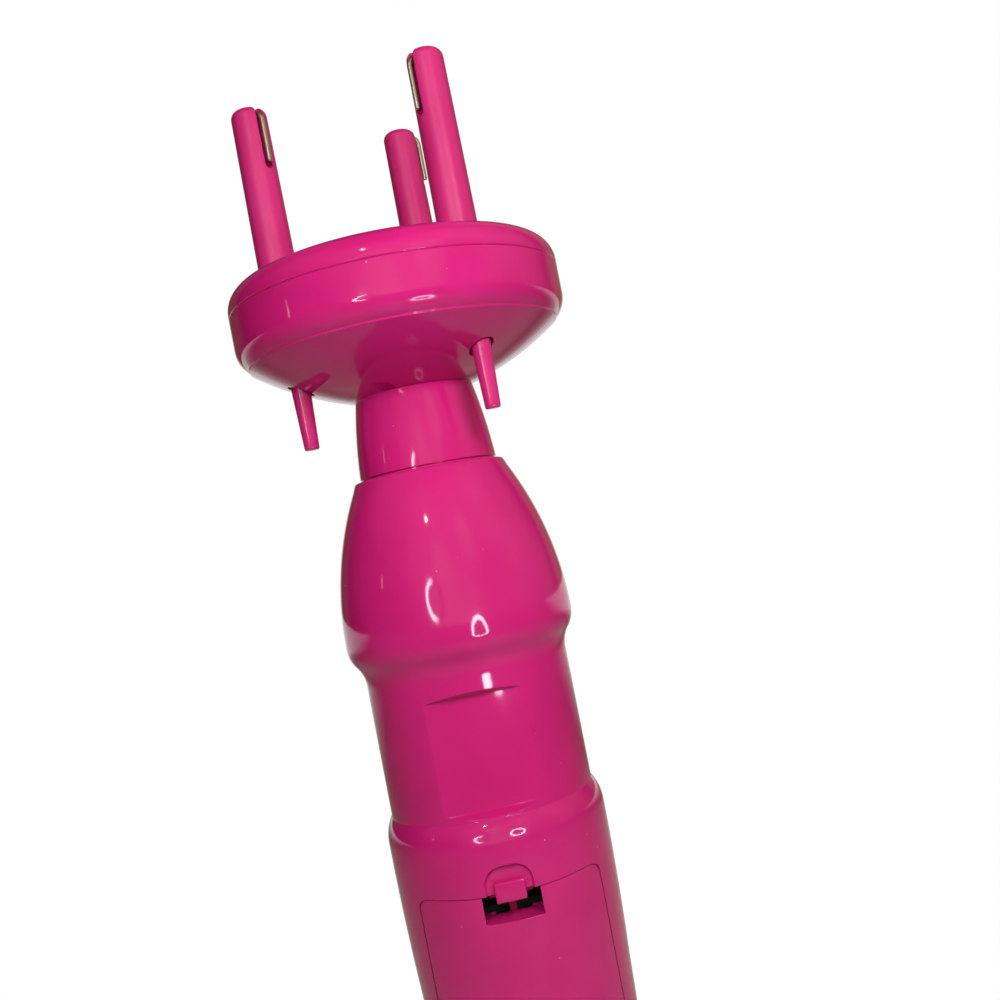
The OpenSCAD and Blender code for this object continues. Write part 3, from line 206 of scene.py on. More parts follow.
class Link:
    """A value on its way through a material. Sums and products of it add Math nodes."""

    def __init__(self, socket):
        self.socket = socket

    def node(self, kind, settings=None, sockets=None, out=0):
        """A further node of the same material, with its settings and the values or links it takes."""
        tree = self.socket.id_data
        made = tree.nodes.new("ShaderNode" + kind)
        for name, value in (settings or {}).items():
            if name == "stops":
                for stop, (place, shade) in zip(made.color_ramp.elements, value):
                    stop.position, stop.color = place, (shade, shade, shade, 1)
            else:
                setattr(made, name, value)
        for name, value in (sockets or {}).items():
            if isinstance(value, Link):
                tree.links.new(value.socket, made.inputs[name])
            else:
                made.inputs[name].default_value = value
        return Link(made.outputs[out])

    def sum(self, operation, a, b):
        return self.node("Math", {"operation": operation}, {0: a, 1: b})

    def __add__(self, other):
        return self.sum("ADD", self, other)

    def __sub__(self, other):
        return self.sum("SUBTRACT", self, other)

    def __rsub__(self, other):
        return self.sum("SUBTRACT", other, self)

    def __mul__(self, other):
        return self.sum("MULTIPLY", self, other)

    __radd__ = __add__
    __rmul__ = __mul__

    def noise(self, scale, detail=2.0, roughness=0.5):
        """Cloudy noise over the piece; scale is in waves a metre."""
        return self.node("TexNoise", None, {"Vector": self, "Scale": scale, "Detail": detail, "Roughness": roughness})

    def over(self, low, high):
        """Nought below low, one above high and a straight ramp between."""
        return self.node("MapRange", {"clamp": True}, {"Value": self, "From Min": low, "From Max": high})

    def between(self, first, second):
        """A colour or a number mixed by this value."""
        colour = isinstance(first, (tuple, Link)) and not isinstance(second, (int, float))
        kind, slots, out = ("RGBA", (6, 7), 2) if colour else ("FLOAT", (2, 3), 0)
        return self.node("Mix", {"data_type": kind}, {0: self, slots[0]: first, slots[1]: second}, out)


def new_finish(name, **sockets):
    """A Principled surface with its plain numbers; returns it, its sockets and the piece's coordinates."""
    material = bpy.data.materials.new(name)
    material.use_nodes = True
    tree = material.node_tree
    surface = tree.nodes["Principled BSDF"]
    for socket, value in sockets.items():
        surface.inputs[socket.replace("_", " ")].default_value = value
    place = Link(tree.nodes.new("ShaderNodeTexCoord").outputs["Object"])
    return material, surface, place


def feed(surface, **links):
    """Leads values into the surface's sockets."""
    for socket, link in links.items():
        surface.id_data.links.new(link.socket, surface.inputs[socket.replace("_", " ")])


def srgb(red, green, blue):
    """A colour given in 0 to 255, as linear light."""
    linear = [c / 255 / 12.92 if c < 10 else ((c / 255 + 0.055) / 1.055) ** 2.4 for c in (red, green, blue)]
    return (*linear, 1.0)


def gloss_pink():
    """Glossy hot pink ABS: faint flow clouds in the colour, a light orange peel and a few dust specks."""
    material, surface, place = new_finish(
        "gloss pink", IOR=1.5, Specular_IOR_Level=0.5)
    clouds = place.noise(38, 3).over(0.35, 0.7)
    base = clouds.between(srgb(207, 30, 128), srgb(215, 38, 136))
    specks = place.node("TexVoronoi", {"feature": "F1"}, {"Vector": place, "Scale": 260.0, "Randomness": 1.0})
    dust = (1 - specks.over(0.035, 0.06)) * place.noise(95, 1).over(0.52, 0.6)
    peel = place.noise(420, 2).over(0.2, 0.8)
    waves = place.noise(90, 1)
    edge = place.node("Bevel", {"samples": 6}, {"Radius": 0.38 * MM})
    relief = place.node("Bump", None, {"Strength": 0.22, "Distance": 0.012 * MM, "Height": waves * 6 + peel, "Normal": edge})
    feed(surface, Base_Color=(dust * 0.45).between(base, srgb(236, 150, 190)), Normal=relief,
         Roughness=place.noise(160, 3) * 0.04 + dust * 0.3 + 0.045)
    return material


pink = gloss_pink()


def finished(piece, material, body, slot, *nodes):
    """Dresses a piece, hangs it on its body and lets it stand for the CAD nodes."""
    piece.data.materials.clear()
    piece.data.materials.append(material)
    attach(piece, body)
    if nodes:
        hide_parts(*nodes)
    return piece


BEARING = (13.6, 15.6, mouth_z - 6.5, mouth_z - 1)
GROOVE = (16.0, mouth_z - 12, mouth_z - 7.5)
cavity_top = GROOVE[1] - 2.5
LIP_ROUND = 0.8
DOOR = (20.55, 15.4, 84.65, 2.5)
DOOR_GAP = 0.15
SCREWS = ((12, 8), (15, SHOULDER_Z - 4), (15, cavity_top - 4))
BUTTON = (18.0, 12.0, 15.5)
button_mid = waist_top - 18.5


def housing_outline():
    """Closed outline of the wall, with the rounded lip of the mouth and the collar inside it."""
    outside = handle_line(0, handle_top - LIP_ROUND * 0.9)
    lip = arc(outside[-1][0] - LIP_ROUND * 0.86, handle_top - LIP_ROUND, LIP_ROUND, 28, 90, 5)
    inside = handle_line(WALL, cavity_top)[::-1]
    hole, seat, low, high = BEARING
    collar = [(17.1, handle_top), (17.1, mouth_z), (hole, mouth_z), (hole, high), (seat, high), (seat, low),
              (hole, low), (hole, GROOVE[2]), (GROOVE[0], GROOVE[2]), (GROOVE[0], GROOVE[1]), (hole, GROOVE[1]),
              (hole, cavity_top)]
    return [(0, 0)] + outside[:-1] + lip + collar + inside + [(0, WALL)]


def housing_half(name, sweep):
    """One half with its ribs and screw bosses."""
    half = turned(name, housing_outline(), sweep, 128)
    side = -1 if sweep > 0 else 1
    ribs = ((17.0, 22.6, 14.5, 16.5), (17.0, 24.4, 78.7, 80.7), (20.07, 22.6, waist_top - 3.2, waist_top - 1.2),
            (21.98, 25.6, waist_top + 18.3, waist_top + 20.3))
    for inner, outer, low, high in ribs:
        rib = turned("rib", [(inner, low), (outer, low), (outer, high), (inner, high)], sweep, 96)
        joined(half, rib, "UNION")
    for x, z in SCREWS:
        for hand in (-x, x):
            depth = math.sqrt(23.0**2 - x**2) - 1.2
            joined(half, rod("boss", 3.2, (hand, 0, z), (hand, side * depth, z)), "UNION")
            joined(half, rod("bore", 1.25, (hand, side * -1, z), (hand, side * 6, z)))
    return half


def front_housing():
    half = housing_half("front_housing", 180)
    floor = math.sqrt(WAIST_R**2 - 11**2)
    low, high = waist_low + 1.6, waist_low + 27.0
    backing = block("backing", (-12.4, -floor - 1.2, low - 1.4), (12.4, 1.5 - floor, high + 1.4))
    skin = turned("skin", [(0, 60), (23.3, 60), (23.3, 150), (0, 150)], 360, 96)
    joined(backing, skin, "INTERSECT")
    joined(half, backing, "UNION")
    panel = block("panel", (-11, -floor - 4, low), (11, -floor, high))
    lean_out(panel, -floor, 1.8)
    joined(half, panel)
    arch = (lambda a, b: abs(a.x - b.x) < 0.1 and abs(a.z - b.z) < 0.1)
    scoop = block("scoop", (-5.4, -34, 78), (5.4, -24.75, 90.85), 4.1, arch, 12)
    round_edges(scoop, 0.9, lambda a, b: min(-a.y, -b.y) < 24.8 and max(-a.y, -b.y) < 24.8, 4)
    joined(half, scoop)
    side, low, high, corner = DOOR
    opening = block("opening", (-side - DOOR_GAP, -40, low - 1.5), (side + DOOR_GAP, -5, high + DOOR_GAP), corner, arch, 8)
    joined(half, opening)
    for hand in (-1, 1):
        ear = block("ear", (hand * 7.25 - 1, -23.0, 12.9), (hand * 7.25 + 1, -20.2, 16.6))
        joined(ear, rod("ear end", 1.4, (hand * 7.25 - 1, -21.6, 16.6), (hand * 7.25 + 1, -21.6, 16.6)), "UNION")
        joined(ear, turned("ear trim", [(0, 10), (22.6, 10), (22.8, 20), (0, 20)], 360, 96), "INTERSECT")
        joined(half, ear, "UNION")
        joined(half, rod("ear hole", 0.8, (hand * 5.8, -21.6, 16.6), (hand * 9, -21.6, 16.6), 32))
    return half


def lean_out(piece, floor, run):
    """Pulls the outer ends of a cutter up and down, so that its top and bottom walls lean."""
    middle = sum(v.co.z for v in piece.data.vertices) / len(piece.data.vertices)
    for vertex in piece.data.vertices:
        if vertex.co.y < (floor - 1) * MM:
            vertex.co.z += math.copysign(run * MM, vertex.co.z - middle)


def rear_housing():
    half = housing_half("rear_housing", -180)
    for x, z in SCREWS:
        for hand in (-x, x):
            joined(half, rod("well", 2.8, (hand, 9, z), (hand, 40, z)))
            joined(half, rod("hole", 1.4, (hand, -1, z), (hand, 12, z), 32))
    around = (lambda a, b: abs(a.x - b.x) < 0.1 and abs(a.z - b.z) < 0.1)
    for side in (-1, 1):
        z = button_mid + side * BUTTON[2] / 2
        width, height = BUTTON[0] / 2 + 0.3, BUTTON[1] / 2 + 0.3
        joined(half, block("window", (-width, 18.7, z - height), (width, 40, z + height), 4, around, 8))
    for hand in (-1, 1):
        for z in (102, waist_top - 5.2):
            joined(half, rod("post", 0.9, (hand * 11.4, 15.2, z), (hand * 11.4, 20.2, z), 24), "UNION")
    return half


front = finished(smoothed(front_housing()), pink, "handle", "pink_gloss", "front_shell")
rear = finished(smoothed(rear_housing()), pink, "handle", "pink_gloss", "rear_shell")

# ---- Battery door ---------------------------------------------------------------------------------
# A thinner moulding of the same plastic that follows the grip. It turns on a steel pin at its lower
# edge and has a notch in its upper edge, where the sliding thumb latch sits between two rails.

NOTCH = (6.5, 78.7)
PLATE_Y = -17.65
RAIL_Y = -24.3


def battery_door():
    low, high = DOOR[1], DOOR[2]
    line = [p for p in handle_line(0, 110) if p[1] < 96]
    inner = [p for p in handle_line(2.0, 110) if p[1] < 96][::-1]
    door = turned("battery_door_skin", line + inner, 180, 128)
    arch = (lambda a, b: abs(a.x - b.x) < 0.1 and abs(a.z - b.z) < 0.1)
    joined(door, block("outline", (-DOOR[0], -40, low), (DOOR[0], -4, high), DOOR[3], arch, 8), "INTERSECT")
    joined(door, block("notch", (-NOTCH[0], -40, NOTCH[1]), (NOTCH[0], -20, high + 5)))
    joined(door, rod("barrel", 1.3, (-6, -21.6, 16.6), (6, -21.6, 16.6)), "UNION")
    for hand in (-1, 1):
        joined(door, block("ear room", (hand * 7.25 - 1.25, -25.6, 14), (hand * 7.25 + 1.25, -17, 18.6)))
        joined(door, block("rail", (hand * 5.9 - 0.6, RAIL_Y + 0.3, 66), (hand * 5.9 + 0.6, PLATE_Y + 0.2, NOTCH[1])), "UNION")
        joined(door, block("rail lip", (hand * 5.35 - 1.15, PLATE_Y + 0.2, 70), (hand * 5.35 + 1.15, PLATE_Y + 0.8, 78.6)), "UNION")
    joined(door, block("seat", (-6.5, RAIL_Y, 64.8), (6.5, PLATE_Y + 0.3, 66)), "UNION")
    joined(door, block("shelf", (-NOTCH[0], RAIL_Y, NOTCH[1] - 1.2), (NOTCH[0], PLATE_Y - 1.5, NOTCH[1])), "UNION")
    joined(door, rod("pin hole", 0.86, (-8, -21.6, 16.6), (8, -21.6, 16.6), 32))
    return door


finished(smoothed(battery_door()), pink, "door", "pink_gloss", "battery_door")

# ---- Thumb latch ----------------------------------------------------------------------------------
# A small pink block with softly rounded edges, in one piece with the open plate that slides behind
# the door on its spring of steel wire.

LATCH = (3.4, 83.0, 87.45)


def thumb_latch():
    half, low, high = LATCH
    front_y = -(GRIP_R + 0.15)
    latch = block("thumb_latch", (-half, front_y, low), (half, front_y + 1.25, high), 0.42, None, 4)
    joined(latch, block("stem", (-half, front_y + 0.8, low + 0.02), (half, PLATE_Y - 0.05, low + 1.4)), "UNION")
    plate = block("plate", (-5, PLATE_Y - 1.2, low - 10.98), (5, PLATE_Y, low + 0.02))
    joined(latch, plate, "UNION")
    for side in (-3, 3):
        joined(latch, block("window", (side - 2.2, PLATE_Y - 2, NOTCH[1] - 0.7), (side + 2.2, PLATE_Y + 1, low - 0.8)))
    return latch


finished(smoothed(thumb_latch(), 40), pink, "latch", "pink_gloss", "door_latch")

# ---- Neck -----------------------------------------------------------------------------------------
# The tapered sleeve between handle and head: it turns in the bearing ring, its flange runs in the
# collar's groove, and its web holds the drive shaft's upper bush under the head.

NECK_R0, NECK_R1, NECK_SWELL = 16.75, 14.33, 0.42
neck_low, neck_top = handle_top - 0.7, handle_top - 0.7 + 20.05
GROOVE_FIT, HUB_R, SPIGOT_R, BUSH_R = 0.4, 10.0, 12.33, 4.5


def neck_sleeve():
    share = [i / 20 for i in range(21)]
    side = [(NECK_R0 + (NECK_R1 - NECK_R0) * t + 4 * NECK_SWELL * t * (1 - t), neck_low + (neck_top - neck_low) * t)
            for t in share]
    clutch = GROOVE[1] - 7.5
    skirt = arc(NECK_R0 - 0.3, handle_top - 1.8, 0.3, -90, 0, 3)
    outline = ([(HUB_R, clutch), (HUB_R, GROOVE[1] + GROOVE_FIT), (15.5, GROOVE[1] + GROOVE_FIT),
                (15.5, GROOVE[2] - GROOVE_FIT), (13, GROOVE[2] - GROOVE_FIT), (13, handle_top - 2.1)] + skirt + side
               + [(SPIGOT_R, neck_top), (SPIGOT_R, neck_top + 1.2), (BUSH_R, neck_top + 1.2), (BUSH_R, neck_top - 3),
                  (9.83, neck_top - 3), (11.33, neck_top - 6), (11, mouth_z), (7.5, GROOVE[2]), (7.5, clutch),
                  (HUB_R, clutch)])
    neck = turned("neck", outline)
    line = [(16.3, handle_top + 0.1), (18, handle_top + 0.1), (18, handle_top + 0.6), (16.3, handle_top + 0.6)]
    joined(neck, turned("line", line))
    for i in range(3):
        x, y = 7.6 * math.cos(math.radians(120 * i)), 7.6 * math.sin(math.radians(120 * i))
        joined(neck, rod("hub screw hole", 1.2, (x, y, neck_top - 4), (x, y, neck_top + 4), 32))
    return neck


finished(smoothed(neck_sleeve()), pink, "head", "pink_gloss", "neck_sleeve")

# ---- Head bowl ------------------------------------------------------------------------------------
# The lower moulding of the head disk: a shallow bowl with three bosses that guide the fingers, each
# with the hole for its push pin, and a shallow dimple where the mould's gate was.

HEAD_R, HEAD_ROUND = 40.0, 6.0
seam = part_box("head_base")[1].z / MM
bowl_mid = (-6.1, neck_top + math.sqrt(75.0**2 - (NECK_R1 + 6.1) ** 2))
edge_z = bowl_mid[1] - (75.0 - HEAD_ROUND) * math.cos(math.radians(36)) + 0.03
FINGER_CIRCLE, FINGER_AT = 26.5, (-50.4, 69.6, 189.6)
gear_low = seam - 10.6


def finger_axis(number):
    turn = math.radians(FINGER_AT[number])
    return FINGER_CIRCLE * math.cos(turn), FINGER_CIRCLE * math.sin(turn)


def bowl_line(inset, start):
    under = arc(*bowl_mid, 75 - inset, start - 90, -54.5, 16)
    return under + arc(34, edge_z, HEAD_ROUND - inset, -54, 0, 12)


def head_bowl():
    begin = math.degrees(math.asin((NECK_R1 + 6.1) / 75))
    inside = math.degrees(math.asin((15.4 + 6.1) / (75 - WALL)))
    rim = [(HEAD_R, seam - 0.25), (HEAD_R - 0.25, seam), (HEAD_R - WALL, seam)]
    outline = ([(5, neck_top + 1.2), (12.38, neck_top + 1.2), (12.38, neck_top)] + bowl_line(0, begin) + rim
               + bowl_line(WALL, inside)[::-1] + [(15.4, neck_top + 3), (5, neck_top + 3), (5, neck_top + 1.2)])
    bowl = turned("head_bowl", outline, 360, 240)
    trim = [(0, neck_top + 3)] + bowl_line(1.1, inside) + [(38.9, seam), (0, seam)]
    for number in range(3):
        x, y = finger_axis(number)
        boss = rod("boss", 6.4, (x, y, neck_top), (x, y, gear_low - 0.5))
        joined(boss, turned("trim", trim, 360, 96), "INTERSECT")
        joined(bowl, boss, "UNION")
        joined(bowl, rod("pin hole", 3, (x, y, neck_top), (x, y, seam)))
        joined(bowl, rod("finger seat", 4.66, (x, y, neck_top + 7.4), (x, y, seam)))
        a = math.radians(120 * number)
        hub = (7.6 * math.cos(a), 7.6 * math.sin(a))
        joined(bowl, rod("hub hole", 1.35, (*hub, neck_top), (*hub, neck_top + 5), 32))
    joined(bowl, gate_dimple())
    return bowl


def gate_dimple():
    lean = math.asin((16 + 6.1) / 75)
    out = Vector((math.sin(lean), 0, -math.cos(lean)))
    centre = Vector((bowl_mid[0], 0, bowl_mid[1])) + out * (75 + 5.2 - 0.9)
    centre.rotate(Matrix.Rotation(math.radians(-114.8), 3, "Z"))
    bpy.ops.object.select_all(action="DESELECT")
    bpy.ops.mesh.primitive_uv_sphere_add(radius=5.2 * MM, segments=96, ring_count=64, location=centre * MM)
    return settled(bpy.context.object)


finished(smoothed(head_bowl()), pink, "head", "pink_gloss", "head_base")

# ---- Head cover -----------------------------------------------------------------------------------
# The domed lid of the head disk. Its skirt snaps inside the bowl's wall, and it has a bearing boss
# and a clear round hole for each finger.

DOME_R = 122.0


def head_cover():
    rise = math.degrees(math.asin(34 / (DOME_R - HEAD_ROUND)))
    edge_mid = seam + 0.9
    dome_mid = edge_mid - (DOME_R - HEAD_ROUND) * math.cos(math.radians(rise))
    edge = arc(34, edge_mid, HEAD_ROUND, -6, 90 - rise, 12)
    dome = arc(0, dome_mid, DOME_R, 90 - rise, 90, 20)
    under = arc(0, dome_mid, DOME_R - WALL, 90, 90 - rise, 14)
    skirt = [(35.6, seam + 2.5), (35.6, seam - 4), (37.7, seam - 4), (37.7, seam), (39.72, seam)]
    cover = turned("head_lid", [(39.72, seam)] + edge + dome[1:] + under + skirt, 360, 240)
    trim = [(0, seam - 8), (34, seam - 8)] + arc(0, dome_mid, DOME_R - 1.1, 90 - rise, 90, 14)
    for number in range(3):
        x, y = finger_axis(number)
        boss = rod("boss", 6.4, (x, y, gear_low + 7.35), (x, y, seam + 20))
        joined(boss, turned("trim", trim, 360, 96), "INTERSECT")
        joined(cover, boss, "UNION")
        joined(cover, rod("finger hole", 4.95, (x, y, seam - 8), (x, y, seam + 20), 96))
    return cover


finished(smoothed(head_cover()), pink, "head", "pink_gloss", "head_cover")

# ---- Fingers --------------------------------------------------------------------------------------
# Three tapered posts of satin pink plastic with a fine spark-eroded grain. Each is hollow for its
# plunger and spring, and its tip is open on one side for the hair.

SLOT_AT = (-145, -2, -44)
SLOT_W, SLOT_DEEP = 2.2, 15.5
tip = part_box("finger_1")[1].z / MM
spring_top = tip - SLOT_DEEP - 12.5


def satin_pink(name, rough):
    """The same plastic with a fine moulded grain, which spreads the highlights to a soft line."""
    material, surface, place = new_finish(name, IOR=1.5, Specular_IOR_Level=0.6)
    clouds = place.noise(60, 2).over(0.35, 0.7)
    grain = place.noise(2600, 3, 0.6)
    edge = place.node("Bevel", {"samples": 6}, {"Radius": 0.3 * MM})
    relief = place.node("Bump", None, {"Strength": 0.35, "Distance": 0.02 * MM, "Height": grain, "Normal": edge})
    feed(surface, Base_Color=clouds.between(srgb(203, 36, 124), srgb(214, 46, 134)), Normal=relief,
         Roughness=grain * 0.12 + rough)
    return material


satin = satin_pink("satin pink", 0.3)


def finger(number):
    low = neck_top + 7.9
    profile = ([(2.75, low), (4.6, low), (4.6, gear_low + 5), (6.5, gear_low + 5), (6.5, gear_low + 7),
                (4.6, gear_low + 7)] + stepped((4.6, gear_low + 7), (4.6, seam + 8), 4)
               + stepped((4.6, seam + 8), (4.25, tip - 2), 5) + arc(2.25, tip - 2, 2, 8, 90, 8) + [(0, tip)]
               + [(0, tip - SLOT_DEEP - 1), (1.6, tip - SLOT_DEEP - 1), (1.6, spring_top), (2.75, spring_top),
                  (2.75, low)])
    post = turned(f"finger_post_{number + 1}", profile, 360, 64)
    slot = rod("slot", SLOT_W / 2, (0, 0, tip - SLOT_DEEP + 1.1), (0, 0, tip + 3), 48)
    mouth = block("mouth", (0, -SLOT_W / 2, tip - SLOT_DEEP + 1.1), (9, SLOT_W / 2, tip + 3))
    joined(slot, mouth, "UNION")
    joined(slot, rod("slot foot", SLOT_W / 2, (0, 0, tip - SLOT_DEEP + 1.1), (9, 0, tip - SLOT_DEEP + 1.1), 48), "UNION")
    joined(slot, rod("bore", 1.6, (0, 0, tip - SLOT_DEEP - 1.5), (0, 0, tip - SLOT_DEEP + 1.1), 48), "UNION")
    joined(post, slot)
    return placed(post, number)


def placed(piece, number):
    """Turns a piece about its own axis to its slot's direction and sets it on its finger's axis."""
    x, y = finger_axis(number)
    piece.matrix_world = Matrix.Translation((x * MM, y * MM, 0)) @ Matrix.Rotation(math.radians(SLOT_AT[number]), 4, "Z")
    return settled(piece)


for number in range(3):
    finished(smoothed(finger(number), 40), satin, f"finger_{number + 1}", "pink_satin", f"finger_{number + 1}")

# ---- Wire hooks -----------------------------------------------------------------------------------
# Polished spring-steel wire, 1.2 mm thick, bent over the slot. The inner leg is moulded into the
# plunger; the outer leg ends free in the slot.

WIRE_R, REACH, LEG = 0.6, 4.7, 9.8
bend_z = tip - 1.8 - REACH / 2
rod_top = tip - SLOT_DEEP - 8.5


def polished_steel():
    """Drawn wire: bright steel with faint lines along it."""
    material, surface, place = new_finish("polished steel", Metallic=1.0)
    lines = place.noise(900, 2)
    feed(surface, Base_Color=lines.between(srgb(226, 222, 220), srgb(246, 243, 241)), Roughness=lines * 0.12 + 0.3)
    return material


wire_steel = polished_steel()


def wire_hook(number):
    """A round section drawn up, spun over the bend and drawn down to its rounded end."""
    bpy.ops.object.select_all(action="DESELECT")
    bpy.ops.mesh.primitive_circle_add(
        vertices=24, radius=WIRE_R * MM, fill_type="NGON", location=(0, 0, (rod_top - 6) * MM))
    hook = settled(bpy.context.object)
    hook.name = f"wire_hook_{number + 1}"
    bpy.ops.object.mode_set(mode="EDIT")
    bpy.ops.mesh.select_all(action="SELECT")
    bpy.ops.mesh.extrude_region_move(TRANSFORM_OT_translate={"value": (0, 0, (bend_z - rod_top + 6) * MM)})
    bpy.ops.mesh.spin(steps=32, angle=math.pi, center=(REACH / 2 * MM, 0, bend_z * MM), axis=(0, -1, 0))
    bpy.ops.mesh.extrude_region_move(TRANSFORM_OT_translate={"value": (0, 0, -LEG * MM)})
    bpy.ops.mesh.select_all(action="SELECT")
    bpy.ops.mesh.normals_make_consistent(inside=False)
    bpy.ops.object.mode_set(mode="OBJECT")
    end = hook.modifiers.new("end", "BEVEL")
    end.width, end.segments, end.limit_method, end.angle_limit = 0.3 * MM, 3, "ANGLE", math.radians(60)
    only(hook)
    bpy.ops.object.modifier_apply(modifier=end.name)
    return placed(hook, number)


for number in range(3):
    finished(smoothed(wire_hook(number), 50), wire_steel, f"plunger_{number + 1}", "wire_steel", f"hook_{number + 1}")

# ---- Push pins ------------------------------------------------------------------------------------
# The plungers that lift the hooks: a tapered pin below the head, a collar that the return spring
# pushes on and a rod inside the finger. Satin pink, like the fingers.


def push_pin(number):
    low = seam - 33.3
    outline = ([(0, low)] + arc(1.8 - 0.5, low + 0.5, 0.5, -90, -6, 5)
               + stepped((1.8, low + 0.6), (2.35, neck_top + 7.4), 3)
               + [(2.35, gear_low - 0.5), (2.6, gear_low - 0.5), (2.6, gear_low + 0.5), (1.25, gear_low + 0.5),
                  (1.25, rod_top - 1.2), (0, rod_top - 1.2)])
    return placed(turned(f"push_pin_{number + 1}", outline, 360, 48), number)


pin_satin = satin_pink("pin pink", 0.14)
for number in range(3):
    finished(smoothed(push_pin(number), 40), pin_satin, f"plunger_{number + 1}", "pink_satin", f"plunger_{number + 1}")

# ---- Push buttons ---------------------------------------------------------------------------------
# Two satin caps in the rear of the waist, one for each way of turning, each with the flange that
# keeps it in the housing and a stem that presses its switch.

CAP_R, FLANGE_R, FLANGE_T, STEM_R = WAIST_R + 0.8, WAIST_R - WALL - 0.3, 1.2, 2.2


def deep_pink():
    """A darker satin pink with a fine grain."""
    material, surface, place = new_finish("deep pink", IOR=1.48)
    grain = place.noise(2200, 3, 0.6)
    edge = place.node("Bevel", {"samples": 6}, {"Radius": 0.4 * MM})
    relief = place.node("Bump", None, {"Strength": 0.3, "Distance": 0.02 * MM, "Height": grain, "Normal": edge})
    feed(surface, Base_Color=place.noise(55).over(0.3, 0.7).between(srgb(166, 22, 98), srgb(176, 28, 106)),
         Normal=relief, Roughness=(grain * 0.15) + 0.38)
    return material


button_satin = deep_pink()


def push_button(name, z, stem_y):
    around = (lambda a, b: abs(a.x - b.x) < 0.1 and abs(a.z - b.z) < 0.1)
    parts = []
    for inner, outer, grow, corner in ((FLANGE_R - 0.8, CAP_R, 0, 3.7), (FLANGE_R - FLANGE_T, FLANGE_R, 1, 4)):
        width, height = BUTTON[0] / 2 + grow, BUTTON[1] / 2 + grow
        part = block(name, (-width, 10, z - height), (width, 30, z + height), corner, around, 8)
        skin = turned("skin", [(inner, z - 9), (outer, z - 9), (outer, z + 9), (inner, z + 9)], 360, 192)
        parts.append(joined(part, skin, "INTERSECT"))
    cap = joined(*parts, "UNION")
    joined(cap, rod("stem", STEM_R, (0, stem_y, z), (0, FLANGE_R - 0.2, z), 48), "UNION")
    bpy.ops.object.select_all(action="DESELECT")
    bpy.ops.mesh.primitive_uv_sphere_add(
        radius=40 * MM, segments=128, ring_count=96, location=(0, (CAP_R + 40 - 0.45) * MM, z * MM))
    return joined(cap, settled(bpy.context.object))


for key, side in (("twist", 1), ("braid", -1)):
    stem_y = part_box(f"{key}_nub")[1].y / MM
    cap = push_button(f"{key}_cap", button_mid + side * BUTTON[2] / 2, stem_y)
    finished(smoothed(cap), button_satin, f"{key}_key", "deep_pink", f"{key}_button")

# ---- Springs --------------------------------------------------------------------------------------
# Round spring wire, wound by a Screw modifier: the return springs in the fingers and the latch's
# spring, the wrap spring round the neck's hub and the cone springs under the cells.


def spring_wire():
    """Oiled spring wire: a little darker than the hooks, with faint lines."""
    material, surface, place = new_finish("spring wire", Metallic=1.0)
    lines = place.noise(700, 2)
    feed(surface, Base_Color=lines.between(srgb(150, 150, 156), srgb(184, 184, 190)), Roughness=lines * 0.15 + 0.2)
    return material


spring_steel = spring_wire()


def coil(name, wire, low, high, turns, axis=(0, 0), top_r=None):
    """A helix of round wire about an upright axis. low and high are its middle radius and its end's height."""
    radius, z0 = low
    top_radius, z1 = high
    bpy.ops.object.select_all(action="DESELECT")
    bpy.ops.mesh.primitive_circle_add(
        vertices=10, radius=wire * MM, fill_type="NOTHING", location=(radius * MM, 0, (z0 + wire) * MM),
        rotation=(math.pi / 2, 0, 0))
    spring = settled(bpy.context.object)
    spring.name = name
    winding = spring.modifiers.new("winding", "SCREW")
    winding.iterations, winding.steps, winding.render_steps = turns, 28, 28
    winding.screw_offset = (z1 - z0 - 2 * wire) / turns * MM
    winding.use_normal_calculate = True
    only(spring)
    bpy.ops.object.modifier_apply(modifier=winding.name)
    bpy.ops.object.mode_set(mode="EDIT")
    bpy.ops.mesh.select_all(action="SELECT")
    bpy.ops.mesh.fill_holes(sides=0)
    bpy.ops.mesh.normals_make_consistent(inside=False)
    bpy.ops.object.mode_set(mode="OBJECT")
    for vertex in spring.data.vertices:
        share = (vertex.co.z / MM - z0) / (z1 - z0)
        away = math.hypot(vertex.co.x, vertex.co.y)
        wanted = away + (top_radius - radius) * share * MM
        vertex.co.x, vertex.co.y = vertex.co.x * wanted / away, vertex.co.y * wanted / away
    spring.location = (axis[0] * MM, axis[1] * MM, 0)
    return smoothed(settled(spring), 60)


def spring_box(node):
    """Outer radius, lower end and upper end of a CAD spring, in millimetres."""
    low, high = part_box(node)
    return (high.y - low.y) / 2 / MM, low.z / MM, high.z / MM


for number in range(3):
    node = f"plunger_spring_{number + 1}"
    outer, low, high = spring_box(node)
    x, y = finger_axis(number)
    spring = coil(f"return_spring_{number + 1}", 0.4, (outer - 0.4, low), (outer - 0.4, high), 14, (x, y))
    finished(spring, spring_steel, f"finger_{number + 1}", "steel", node)
    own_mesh(spring)

outer, low, high = spring_box("latch_spring")
spring_y = PLATE_Y - 0.6
spring = coil("latch_coil", 0.18, (outer - 0.18, low), (outer - 0.18, high), 7, (0, spring_y))
finished(spring, spring_steel, "door", "steel", "latch_spring")
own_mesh(spring)

outer, low, high = spring_box("clutch_spring")
wrap = coil("wrap_spring", 0.44, (outer - 0.45, low), (outer - 0.45, high), 5)
joined(wrap, rod("tang", 0.4, (outer - 0.45, 0, low + 0.45), (outer + 0.6, 0, low + 0.45), 16), "UNION")
finished(smoothed(wrap, 60), spring_steel, "handle", "steel", "clutch_spring")

